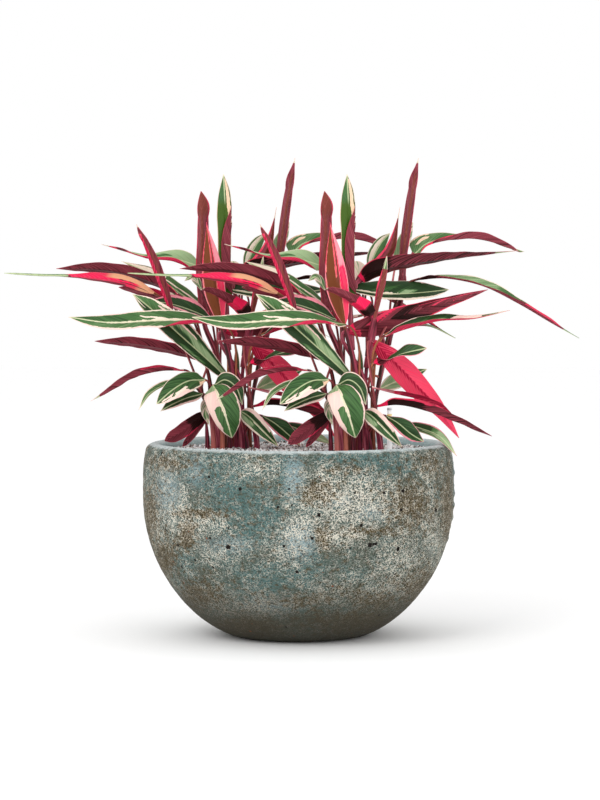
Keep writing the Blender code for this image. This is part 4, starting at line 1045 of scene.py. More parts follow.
def make_piece(name, points, faces, materials=(), values=None, smooth=True):
    """A new object in the scene, with the values that its materials are painted by."""
    mesh = bpy.data.meshes.new(name)
    mesh.from_pydata(np.asarray(points).tolist(), [], faces)
    mesh.polygons.foreach_set("use_smooth", [smooth] * len(faces))
    for value, data in (values or {}).items():
        wide = np.shape(data)[-1] == 3
        layer = mesh.attributes.new(value, "FLOAT_VECTOR" if wide else "FLOAT", "POINT")
        layer.data.foreach_set("vector" if wide else "value", np.ravel(data).astype(np.float32))
    for material in materials:
        mesh.materials.append(material)
    mesh.update()
    piece = bpy.data.objects.new(name, mesh)
    bpy.context.scene.collection.objects.link(piece)
    return piece


class Skin:
    """Collects the tubes of one leafy stem, with their finishes and painted values."""

    def __init__(self):
        self.points = []
        self.faces = []
        self.finishes = []
        self.values = {name: [] for name in PAINTED}

    def add_tube(self, rings, finishes, values):
        """Add rings of points, joined ring to ring and closed at both ends."""
        levels, corners, _ = rings.shape
        first = sum(len(part) for part in self.points)
        self.points.append(rings.reshape(-1, 3))
        for name, parts in self.values.items():
            parts.append(values[name].reshape(levels * corners, -1))
        self.faces += tube_faces(levels, corners, first) + end_faces(levels, corners, first)
        self.finishes += [*finishes.ravel().tolist(), int(finishes[0, 0]), int(finishes[-1, 0])]

    def make(self, name, materials):
        """Turn what was collected into an object."""
        values = {value: np.concatenate(parts) for value, parts in self.values.items()}
        piece = make_piece(name, np.concatenate(self.points), self.faces, materials, values)
        piece.data.polygons.foreach_set("material_index", self.finishes)
        return piece


def half_profile(half, fold, arch, turn):
    """How one half of a blade lies across, from the rib to the edge.

    Gives its sideways and upward places and its slopes. A turn is (mm from the rib to the
    crease, degrees by which all beyond it is turned over).
    """
    steps = np.linspace(0.0, 1.0, PROFILE_STEPS + 1)
    slope = fold * np.minimum(steps / FOLD_WIDTH, 1.0) + arch * (1.0 - 2.0 * steps)
    if turn:
        crease = turn[0] * 0.001 / half
        width = TURN_WIDTH / half
        slope = slope + math.radians(turn[1]) * smooth_step(steps, crease, crease + width)
    middle = (slope[1:] + slope[:-1]) / 2.0
    sideways = np.concatenate([[0.0], np.cumsum(np.cos(middle))]) * half / PROFILE_STEPS
    upward = np.concatenate([[0.0], np.cumsum(np.sin(middle))]) * half / PROFILE_STEPS
    return [np.interp(HALF_WAY, steps, line) for line in (sideways, upward, slope)]


def half_width(coat, name, plain_half, share):
    """The width of one half of a blade, from its drawn outline where it has one."""
    outline = coat.get(name) or [(row[0], row[-1 if name == "plus" else 1])
                                 for row in coat["halves"]]
    if not outline:
        return plain_half
    if outline[-1][0] < FINE_TIP[0]:
        outline = [*outline, FINE_TIP]
    places, widths = np.array(outline).T
    near = [np.interp(min(max(share + step, 0.0), 1.0), places / 100.0, widths)
            for step in (-OUTLINE_SOFT, 0.0, OUTLINE_SOFT)]
    inside = OUTLINE_SOFT < share < 1.0 - OUTLINE_SOFT
    return max(sum(near) / 3.0 if inside else near[1], LEAST_HALF_MM) * 0.001


def petiole_section(share, neck):
    """A petiole's places (sideways, upward) above and below, and its half width."""
    radius = neck * (1.0 + PETIOLE_SWELL * -share)
    round_off = np.sqrt(1.0 - ACROSS ** 2) * radius
    return (ACROSS * radius, round_off), (ACROSS * radius, -round_off), np.full(ACROSS.size, radius)


def blade_section(leaf, coat, share, waves, neck, look):
    """A blade's places (sideways, upward) above and below, and the widths of its halves."""
    half = blade_half(leaf, share)
    half = half * (1.0 - TIP_DRAW * max((share - TIP_START) / (1.0 - TIP_START), 0.0) ** 2)
    fold = blade_fold(leaf, share)
    start = max(1.0 - share * NECK_FADE, 0.0)
    ends = min(1.0, share * ARCH_FADES[0], (1.0 - share) * ARCH_FADES[1])
    minus, plus = (half_width(coat, name, half, share) for name in ("minus", "plus"))
    low = half_profile(minus, fold, ARCH * ends, coat.get("turn_minus"))
    high = half_profile(plus, fold, ARCH * ends, coat.get("turn_plus"))
    sideways, upward, slopes = (np.concatenate([sign * left[::-1], [0.0], right])
                                for sign, left, right in zip((-1.0, 1.0, -1.0), low, high))
    ripple = np.where(ACROSS < 0.0, np.sin(waves[0]), np.sin(waves[1]))
    upward = upward + ripple * FLAT ** 2 * look.edge_wave * ends * min(1.0, half / RIPPLE_HALF)
    halves = np.where(ACROSS < 0.0, minus, plus)
    thick = look.blade_thickness / 2.0 * np.sqrt(1.0 - ACROSS ** 2 * EDGE_THIN)
    rib_start, rib_end, rib_width = FINE_RIB
    groove_depth, groove_width = FINE_GROOVE
    rib = (rib_start + (rib_end - rib_start) * share) * np.exp(-(ACROSS * halves / rib_width) ** 2)
    groove = groove_depth * np.exp(-(ACROSS * halves / groove_width) ** 2) * (1.0 - start)
    bulge = start * neck * np.sqrt(1.0 - ACROSS ** 2)
    above = thick - groove + bulge
    below = thick + rib + bulge * NECK_BELOW
    top = (sideways - np.sin(slopes) * above, upward + np.cos(slopes) * above)
    bottom = (sideways + np.sin(slopes) * below, upward - np.cos(slopes) * below)
    return top, bottom, halves


def there_and_back(rows):
    """Rows for the upper side, and the same again backwards for the underside."""
    return np.concatenate([rows, rows[::-1]])


def add_leaf(skin, side, key, index, bends, seed, look):
    """Add one leaf with its petiole to a leafy stem."""
    coat = {**PLAIN_COAT, **COATS[key][index]}
    stations = [step / (FINE_BLADE - 1) for step in range(FINE_BLADE)]
    stations = [share - STATION_EASE * math.sin(2.0 * math.pi * share) for share in stations]
    line = leaf_line(side, STEMS[key], index, bends, FINE_PETIOLE, stations)
    points = [point for point, _ in line]
    lean = leaf_lean(points, FINE_PETIOLE)
    leaf = STEMS[key].leaves[index]
    leaf = leaf._replace(**{name: coat[name] for name in Leaf._fields if name in coat})
    draw = np.random.RandomState(seed)
    wave_starts = draw.uniform(0.0, 2.0 * math.pi, 2)
    wave_length = draw.uniform(*WAVE_LENGTHS)
    length = sum((b - a).length for a, b in zip(points[FINE_PETIOLE:], points[FINE_PETIOLE + 1:]))
    wide = ACROSS.size
    neck = look.petiole_radius * coat["sheath"]
    behind = coat["behind"] * 0.001
    along = 0.0
    rings = []
    veins = []
    places = []
    for place, (point, share) in enumerate(line):
        roll = math.radians(blend(leaf.roll, max(share, 0.0)))
        normal, across = line_frame(points, place, roll, lean)
        centre = np.array(point)
        if place > FINE_PETIOLE:
            along += (point - points[place - 1]).length
        if share < 0.0:
            centre[1] += behind * math.sin(math.pi / 2.0 * (share + 1.0))
            top, bottom, halves = petiole_section(share, neck)
            run_mm = share * PETIOLE_RUN_MM
        else:
            phase = 2.0 * math.pi * along / wave_length
            waves = (phase + wave_starts[0], phase * OTHER_WAVE + wave_starts[1])
            centre[1] += behind * max(1.0 - share / BEHIND_REACH, 0.0)
            centre += np.array(across) * (coat["shift"] * 0.001 * math.sin(math.pi * share))
            top, bottom, halves = blade_section(leaf, coat, share, waves, neck, look)
            run_mm = along * 1000.0
        top, bottom = (centre + np.outer(sideways, across) + np.outer(upward, normal)
                       for sideways, upward in (top, bottom))
        rings.append(np.concatenate([top, bottom[::-1]]))
        from_rib = ACROSS * halves * 1000.0
        origin = run_mm - np.abs(from_rib) * (VEIN_SLANT + VEIN_CURVE * FLAT)
        vein = np.stack([origin, from_rib, np.full(wide, seed * SEED_STEP)], axis=1)
        spot = np.stack([np.abs(from_rib), (1.0 - FLAT) * halves * 1000.0,
                         np.full(wide, max(share, 0.0))], axis=1)
        veins.append(there_and_back(vein))
        places.append(there_and_back(spot))
    values = {"vein": np.array(veins), "place": np.array(places)}
    values.update(painted(coat, values["vein"][:, :, 0] / (length * 1000.0),
                          values["place"][:, :, 2]))
    gold = min(STALK_GOLD.get(key, 0.0) + PETIOLE_GOLD, 1.0)
    values["warm"][:FINE_PETIOLE] = SHEATH_GOLD if coat["sheath"] > SHEATHED else gold
    values["lift"][:FINE_PETIOLE] = draw.uniform(*PETIOLE_LIFTS)
    corner = np.arange(2 * wide)
    shares = np.array([share for _, share in line[:-1]])[:, None]
    on_top = (corner < wide - 1) | (corner == 2 * wide - 1) | (shares > coat["tail"])
    finishes = np.where(on_top, UPPER, UNDER)
    finishes[:FINE_PETIOLE] = STALK
    skin.add_tube(np.array(rings), finishes, values)


def painted(coat, origin_share, shares):
    """The painted values of a leaf, ring by ring, for its upper side and then its underside.

    A straight mark is laid by the share of the length, and a slant one by where its vein starts.
    """
    across = there_and_back(ACROSS)
    plus = np.tile(across > 0.0, (len(shares), 1))
    upper = np.tile(np.arange(across.size) < ACROSS.size, (len(shares), 1))
    pale, hot = (np.where(plus, *np.broadcast_to(coat[name], 2)[::-1]) for name in ("pale", "hot"))
    values = {
        "pale": np.where(upper, pale, hot),
        "tint": np.where(upper, coat["blush"], coat["glow"]),
        "lift": np.where(upper, coat["sage"], UNDER_LIFT - UNDER_LIFT * coat["deep"]),
        "warm": np.where(upper, 0.0, coat["warm"]),
    }
    for skin, here, paints in (("upper", upper, UPPER_PAINTS), ("under", ~upper, UNDER_PAINTS)):
        for row in coat[skin]:
            mark = Mark(*row)
            run = origin_share if mark.run == "slant" else shares
            inner = mark.inner / 100.0 if mark.inner > 0 else PAST_RIB
            outer = mark.outer / 100.0 if mark.outer < 100 else PAST_EDGE
            weight = (soft_box(run, mark.start / 100.0, mark.end / 100.0, MARK_SOFT[0])
                      * soft_box(np.abs(across), inner, outer, MARK_SOFT[1]) * here)
            if mark.half != "both":
                weight = weight * (plus if mark.half == "plus" else ~plus)
            for name, target in paints[mark.paint].items():
                values[name] = values[name] + (target - values[name]) * weight
    return values


def add_stalk(skin, side, key, seed, look):
    """Add a stem's own stalk, from the bottom of its hole to its top."""
    handles = stem_handles(side, STEMS[key])
    foot = handles[0]
    draw = np.random.RandomState(seed)
    turn = draw.uniform(0.0, math.pi, 2)
    angles = 2.0 * math.pi * np.arange(STALK_CORNERS) / STALK_CORNERS
    shape = (1.0 + STALK_OVAL * np.cos(2.0 * (angles + turn[0]))
             + STALK_THREE_SIDED * np.cos(3.0 * (angles + turn[1])))
    ring = np.stack([np.cos(angles), np.sin(angles), np.zeros(STALK_CORNERS)], axis=1)
    levels = [(Vector((foot.x, foot.y, HOLE_DEPTH + 0.0006)), 0.0)]
    levels += [(bezier(handles, step / STALK_LEVELS), step / STALK_LEVELS)
               for step in range(STALK_LEVELS + 1)]
    top_radius = look.petiole_radius * STALK_SWELL
    rings = []
    veins = []
    along = 0.0
    before = levels[0][0]
    for point, share in levels:
        along += (point - before).length * 1000.0
        before = point
        radius = np.interp(share, (0.0, STALK_WAIST, 1.0),
                           (look.stalk_radius, WAIST_RADIUS, top_radius))
        rings.append(ring * (shape * radius)[:, None] + np.array(point))
        veins.append(np.stack([np.full(STALK_CORNERS, along), np.sin(angles) * radius * 1000.0,
                               np.cos(angles) * radius * 1000.0 + seed * SEED_STEP], axis=1))
    size = (len(levels), STALK_CORNERS)
    gold = np.linspace(FOOT_GOLD.get(key, 0.0), STALK_GOLD.get(key, 0.0), size[0])
    values = {
        "pale": np.zeros(size),
        "tint": np.zeros(size),
        "lift": np.full(size, draw.uniform(*STALK_LIFTS)),
        "warm": gold[:, None] * np.ones(STALK_CORNERS),
        "vein": np.array(veins),
        "place": np.zeros((*size, 3)),
    }
    skin.add_tube(np.array(rings), np.full((size[0] - 1, size[1]), STALK), values)


def linear(hex_colour):
    """An sRGB hex colour as linear red, green and blue."""
    channels = [int(hex_colour[place:place + 2], 16) / 255.0 for place in (1, 3, 5)]
    return [value / 12.92 if value <= 0.04045 else ((value + 0.055) / 1.055) ** 2.4
            for value in channels]


# The steps that the materials are made of: Blender's node, its settings, the inputs that values
# go to in their order, and the output that carries on.
STEPS = {
    "mix": ("Mix", {"data_type": "RGBA"}, (0, 6, 7), 2),
    "ramp": ("ValToRGB", {}, (0,), 0),
    "rise": ("MapRange", {"interpolation_type": "SMOOTHSTEP"}, (0, 1, 2), 0),
    "sum": ("Math", {"operation": "MULTIPLY_ADD"}, (0, 1, 2), 0),
    "product": ("Math", {"operation": "MULTIPLY"}, (0, 1), 0),
    "difference": ("Math", {"operation": "SUBTRACT"}, (0, 1), 0),
    "larger": ("Math", {"operation": "MAXIMUM"}, (0, 1), 0),
    "size": ("Math", {"operation": "ABSOLUTE"}, (0,), 0),
    "wave": ("Math", {"operation": "SINE"}, (0,), 0),
    "scaled": ("VectorMath", {"operation": "SCALE"}, (0, "Scale"), 0),
    "moved": ("VectorMath", {"operation": "MULTIPLY_ADD"}, (0, 1, 2), 0),
    "length": ("VectorMath", {"operation": "LENGTH"}, (0,), "Value"),
    "split": ("SeparateXYZ", {}, (0,), None),
    "noise": ("TexNoise", {}, ("Vector", "Scale", "Detail"), "Fac"),
    "bump": ("Bump", {}, ("Height", "Strength", "Distance"), 0),
    "place": ("TexCoord", {}, (), "Object"),
    "facing": ("NewGeometry", {}, (), "Normal"),
    "value": ("Attribute", {}, (), "Fac"),
    "vector": ("Attribute", {}, (), "Vector"),
}


def fill(node, values):
    """Link or set a node's inputs, by name or number."""
    for socket, value in values.items():
        if isinstance(value, bpy.types.NodeSocket):
            node.id_data.links.new(value, node.inputs[socket])
        elif node.inputs[socket].type == "RGBA":
            node.inputs[socket].default_value = (*value, 1.0)
        else:
            node.inputs[socket].default_value = value


def add_step(tree, step, *values, **settings):
    """Add the node of a step with its settings and links, and give the output that carries on."""
    kind, fixed, sockets, output = STEPS[step]
    node = tree.nodes.new("ShaderNode" + kind)
    for name, value in {**fixed, **settings}.items():
        setattr(node, name, value)
    fill(node, dict(zip(sockets, values)))
    return node.outputs if output is None else node.outputs[output]


def new_material(name):
    """A material, what adds steps to its tree, and its shader."""
    material = bpy.data.materials.new(name)
    material.use_nodes = True
    tree = material.node_tree
    return material, partial(add_step, tree), tree.nodes["Principled BSDF"]


def shaded(add, value, first, *later):
    """Colours that take over from one another, each as a value rises between its two levels."""
    for low, high, colour in later:
        first = add("mix", add("rise", value, low, high), first, colour)
    return first


def place_mm(add):
    """The place on the object, in millimetres."""
    return add("scaled", add("place"), 1000.0)


def patterned(add, place, scale, detail=2.0, shift=(0.0, 0.0, 0.0)):
    """A noise pattern whose scale is in lumps per millimetre, in all or along each axis."""
    scale = scale if isinstance(scale, tuple) else (scale, scale, scale)
    return add("noise", add("moved", place, scale, shift), 1.0, detail)


def leaf_values(add):
    """The painted values of a leaf, as sockets by name."""
    values = {name: add("value", attribute_name=name) for name in PAINTED[:4]}
    values["vein"] = add("vector", attribute_name="vein")
    values["from_rib"], values["from_edge"], _ = add("split", add("vector", attribute_name="place"))
    return values


def vein_lines(add, vein, spacing_mm):
    """Side veins: soft lines that leave the midrib at a slant, spacing_mm apart."""
    return add("wave", add("product", add("split", vein)[0], 2.0 * math.pi / spacing_mm))


def ragged_share(add, leaf, streak, broad):
    """How far a place is into the pale colour, whose edge is torn by streaks and broad patches."""
    return add("sum", broad, 1.1, add("sum", streak, 0.8, add("sum", leaf["pale"], 1.0, -0.95)))


def waxy_leaf_upper(look):
    """Living leaf, upper side: a waxy skin, so it has a soft, even gloss over its green and cream.

    The streaks follow the side veins and are 2 to 12 mm wide.
    """
    material, add, shader = new_material("waxy_leaf_upper")
    leaf = leaf_values(add)
    streak = patterned(add, leaf["vein"], (0.16, 0.035, 1.0), 3.0)
    broad = patterned(add, leaf["vein"], (0.06, 0.02, 1.0), 1.0, (31.0, 7.0, 3.0))
    mottle = patterned(add, leaf["vein"], (0.15, 0.04, 1.0), 3.0, (5.0, 51.0, 9.0))
    veins = vein_lines(add, leaf["vein"], 8.0)
    greens = add("sum", mottle, 0.9, add("sum", leaf["lift"], 1.0, -0.45))
    greens = add("sum", veins, 0.05, greens)
    green = shaded(add, greens, look.dark_green, (0.05, 0.5, look.green), (0.5, 1.0, look.sage))
    creams = add("sum", streak, 0.8, add("sum", leaf["tint"], 1.0, -0.4))
    cream = shaded(add, creams, look.cream, (0.1, 0.6, look.blush), (0.6, 1.1, look.pink))
    cream = add("mix", leaf["warm"], cream, look.straw)
    green = add("mix", leaf["warm"], green, look.leafy)
    colour = shaded(add, ragged_share(add, leaf, streak, broad), green, (0.45, 0.54, cream))
    on_rib = add("difference", 1.0, add("rise", leaf["from_rib"], 0.5, 1.7))
    cool = add("sum", leaf["warm"], -0.75, 0.75)
    colour = add("mix", add("product", on_rib, cool), colour, look.midrib)
    on_edge = add("difference", 1.0, add("rise", leaf["from_edge"], 0.5, 1.3))
    edged = add("product", add("rise", leaf["pale"], -0.6, -0.1), 0.85)
    colour = add("mix", add("product", on_edge, edged), colour, cream)
    relief = add("bump", add("sum", veins, 0.5, mottle), 0.35, 0.0004)
    fill(shader, {"Base Color": colour, "Normal": relief, "Roughness": 0.42, "IOR": 1.42,
                  "Specular IOR Level": 0.3})
    return material


def satin_leaf_underside(look):
    """Living leaf, underside: thin skin over red sap, satin, pink where pale, hot pinks partly
    painted light.
    """
    material, add, shader = new_material("satin_leaf_underside")
    leaf = leaf_values(add)
    streak = patterned(add, leaf["vein"], (0.13, 0.03, 1.0), 2.0)
    broad = patterned(add, leaf["vein"], (0.06, 0.015, 1.0), 1.0, (31.0, 7.0, 3.0))
    veins = vein_lines(add, leaf["vein"], 9.0)
    reds = add("sum", streak, 1.5, add("sum", leaf["lift"], 1.0, -0.75))
    reds = add("sum", veins, 0.13, reds)
    maroon = shaded(add, reds, look.deep, (-0.05, 0.5, look.maroon), (0.5, 1.0, look.wine))
    maroon = add("mix", leaf["warm"], maroon, look.olive)
    # The pinks run up to hot and shell pink, which are partly painted light shining through the
    # leaf.
    glows = add("sum", streak, 0.8, add("sum", leaf["tint"], 1.0, -0.4))
    glows = add("sum", veins, 0.15, glows)
    pink = shaded(add, glows, look.crimson, (0.0, 0.5, look.rose), (0.5, 1.0, look.hot),
                  (1.15, 1.7, look.shell))
    pink = add("mix", leaf["warm"], pink, look.peach)
    colour = shaded(add, ragged_share(add, leaf, streak, broad), maroon, (0.44, 0.55, pink))
    on_edge = add("difference", 1.0, add("rise", leaf["from_edge"], 0.4, 1.2))
    colour = add("mix", add("product", on_edge, 0.3), colour, look.rose)
    relief = add("bump", add("sum", veins, 0.5, streak), 0.4, 0.0005)
    fill(shader, {"Base Color": colour, "Normal": relief, "Roughness": 0.55, "IOR": 1.40,
                  "Specular IOR Level": 0.2})
    return material


def fibrous_stalk(look):
    """Fleshy, fibrous stalk: smooth skin with long streaks, maroon or golden, and a satin sheen.

    The streaks are 2 to 3 mm apart round the stalk and run 50 mm along it.
    """
    material, add, shader = new_material("fibrous_stalk")
    leaf = leaf_values(add)
    streak = patterned(add, leaf["vein"], (0.02, 0.38, 0.38), 2.0)
    shade = add("sum", streak, 2.4, add("sum", leaf["lift"], 0.9, -1.15))
    red = shaded(add, shade, look.stalk_shade, (0.1, 0.55, look.stalk_red),
                 (0.6, 0.95, look.stalk_light))
    gold = shaded(add, shade, look.stalk_brown, (0.2, 0.8, look.stalk_gold))
    colour = add("mix", leaf["warm"], red, gold)
    fill(shader, {"Base Color": colour, "Roughness": 0.5, "Specular IOR Level": 0.25})
    return material


def outer_radius(height):
    """The bowl's outer radius: a round belly that draws in a little towards the rim."""
    if height >= BELLY_HEIGHT:
        rise = (height - BELLY_HEIGHT) / (BOWL_HEIGHT - BELLY_HEIGHT)
        return BOWL_RADIUS - RIM_DRAW * rise ** RIM_CURVE
    drop = (BELLY_HEIGHT - height) / BELLY_HEIGHT
    share = (1.0 - drop ** BELLY_CURVES[0]) ** BELLY_CURVES[1]
    return FOOT_RADIUS + (BOWL_RADIUS - FOOT_RADIUS) * share


def inner_radius(height):
    """The radius of the bowl's inside: one wall in from its outside, but rounded at the floor."""
    curve_top = INSIDE_FOOT + FLOOR_CURVE
    wall = outer_radius(max(height, curve_top) - INSIDE_DROP) - WALL
    if height >= curve_top:
        return wall
    return INSIDE_RADIUS + (wall - INSIDE_RADIUS) * ((height - INSIDE_FOOT) / FLOOR_CURVE) ** 0.5


def bowl_section():
    """The bowl's fine section: up the inside, over the rim and down the outside to its foot."""
    rim = WALL / 2.0
    roll_start = BOWL_HEIGHT - RIM_ROLL
    rim_middle = outer_radius(roll_start) - rim
    section = [(0.002, BOWL_FLOOR), (0.06, BOWL_FLOOR)]
    for step in range(INSIDE_LEVELS):
        height = INSIDE_FOOT + (INSIDE_TOP - INSIDE_FOOT) * step / (INSIDE_LEVELS - 1)
        section.append((inner_radius(height), height))
    for step in range(RIM_LEVELS):
        angle = math.pi * (1.0 - step / (RIM_LEVELS - 1))
        section.append((rim_middle + rim * math.cos(angle),
                        roll_start + RIM_ROLL * math.sin(angle)))
    for step in range(OUTSIDE_LEVELS):
        share = step / (OUTSIDE_LEVELS - 1)
        height = (roll_start - OUTSIDE_DROP) * (1.0 - share) ** OUTSIDE_CROWD + FOOT_ROUND * share
        section.append((outer_radius(height), height))
    return section + [(FOOT_RADIUS + 0.001, 0.0), (0.05, 0.0), (0.002, 0.0)]


def turned_points(section, corners, centre=(0.0, 0.0)):
    """Rings of points round an upright line, from (radius, height) places."""
    angles = 2.0 * math.pi * np.arange(corners) / corners
    radii, heights = np.array(section).T
    return np.stack([centre[0] + np.outer(radii, np.cos(angles)),
                     centre[1] + np.outer(radii, np.sin(angles)),
                     np.repeat(heights[:, None], corners, axis=1)], axis=2)


def turned_piece(name, section, corners, centre, material):
    """A turned piece, closed at its ends."""
    points = turned_points(section, corners, centre).reshape(-1, 3)
    faces = tube_faces(len(section), corners) + end_faces(len(section), corners)
    return make_piece(name, points, faces, [material])


def bowl_fields(points):
    """How crusted, teal, brown and frosted each point is: as seen in front, drawn behind."""
    forward, right, upward, step = sheet_axes()
    rays = points - np.array(EYE)
    reach = rays @ np.array(forward)
    columns = SHEET_CENTRE[0] + (rays @ np.array(right)) / reach / step
    rows = SHEET_CENTRE[1] - (rays @ np.array(upward)) / reach / step
    facing = smooth_step(-points[:, 1] / BOWL_RADIUS, *FRONT_FADE)
    fields = {}
    for order, (kind, patches) in enumerate(BOWL_PATCHES.items()):
        front = np.zeros(len(points))
        for column, row, wide, high, strength in patches:
            away = ((columns - column) / wide) ** 2 + ((rows - row) / high) ** 2
            front = np.maximum(front, strength * np.exp(-away))
        shift = Vector((order * 5.0, 0.0, 0.0))
        back = np.array([noise.noise(Vector(point) * BACK_PATCH_SCALE + shift)
                         for point in points])
        back = smooth_step(back, -0.1, 0.5) * BACK_PATCH_STRENGTH
        fields[kind] = front * facing + back * (1.0 - facing)
    return fields


def wall_point(column, row):
    """The point of the bowl's outside that is seen at a place of the front sheet."""
    spot = sheet_point(column, row, -BOWL_RADIUS)
    step = (spot - EYE).normalized() * WALL_STEP
    for _ in range(WALL_STEPS):
        if math.hypot(spot.x, spot.y) <= outer_radius(min(max(spot.z, 0.0), BOWL_HEIGHT)):
            return spot
        spot = spot + step
    raise ValueError("A pit's place is beside the bowl")


def glaze_relief(point, scale):
    """How far the glaze stands out at a point."""
    place = Vector(point)
    return scale * sum(share * noise.noise(place * waves + Vector(shift))
                       for waves, shift, share in RELIEF)


def bowl_pits():
    """Where the pits are, as (point, radius): those seen in front, and others behind."""
    draw = np.random.RandomState(17)
    pits = [(wall_point(column, row), radius * 0.001) for column, row, radius in BOWL_PITS]
    for _ in range(BACK_PITS):
        angle = draw.uniform(0.02, math.pi - 0.02)
        height = draw.uniform(*BACK_PIT_HEIGHTS)
        reach = outer_radius(height)
        pits.append((Vector((reach * math.cos(angle), reach * math.sin(angle), height)),
                     draw.uniform(*BACK_PIT_SIZES)))
    return pits


def make_bowl(look):
    """The bowl, with its relief, lumps and pits, and the values that its glaze is painted by."""
    section = bowl_section()
    levels = len(section)
    rings = turned_points(section, BOWL_COLUMNS)
    angles = 2.0 * math.pi * np.arange(BOWL_COLUMNS) / BOWL_COLUMNS
    out = np.stack([np.cos(angles), np.sin(angles), np.zeros(BOWL_COLUMNS)], axis=1)
    relief = np.zeros((levels, BOWL_COLUMNS))
    for level in range(FLOOR_LEVELS + INSIDE_LEVELS, levels - FOOT_LEVELS):
        for column in range(BOWL_COLUMNS):
            relief[level, column] = glaze_relief(rings[level, column], look.relief)
    points = (rings + relief[:, :, None] * out).reshape(-1, 3)
    for degrees, height, radius, stand in BOWL_LUMPS:
        angle = math.radians(degrees)
        away = np.array([math.cos(angle), math.sin(angle), 0.0])
        spot = away * outer_radius(height) + np.array([0.0, 0.0, height])
        reach = ((points - spot) ** 2).sum(axis=1) / (radius * 0.001) ** 2
        points = points + (np.exp(-reach) * stand * 0.001)[:, None] * away
    nearest = np.full(len(points), PIT_FAR)
    offset = np.full((len(points), 3), PIT_FAR)
    for spot, radius in bowl_pits():
        away = (points - np.array(spot)) / radius
        far = np.sqrt((away ** 2).sum(axis=1))
        closer = far < nearest
        nearest = np.where(closer, far, nearest)
        offset = np.where(closer[:, None], away, offset)
    radial = points * np.array([1.0, 1.0, 0.0])
    radial /= np.maximum(np.linalg.norm(radial, axis=1), 0.001)[:, None]
    points = points - radial * (np.exp(-nearest ** 2) * PIT_DEPTH)[:, None]
    inside_levels = FLOOR_LEVELS + INSIDE_LEVELS + RIM_LEVELS // 2 - 1
    values = {
        **bowl_fields(points),
        "pit_near": (nearest < PIT_NEAR).astype(float),
        # Painted shade: how far the glaze is darkened towards the foot.
        "foot": 1.0 - smooth_step(points[:, 2], 0.0, FOOT_SHADE_TOP),
        "inner": (np.repeat(np.arange(levels), BOWL_COLUMNS) < inside_levels).astype(float),
        "pit": offset,
    }
    faces = tube_faces(levels, BOWL_COLUMNS) + end_faces(levels, BOWL_COLUMNS)
    return make_piece("glazed_bowl", points, faces, [weathered_glaze(look)], values)


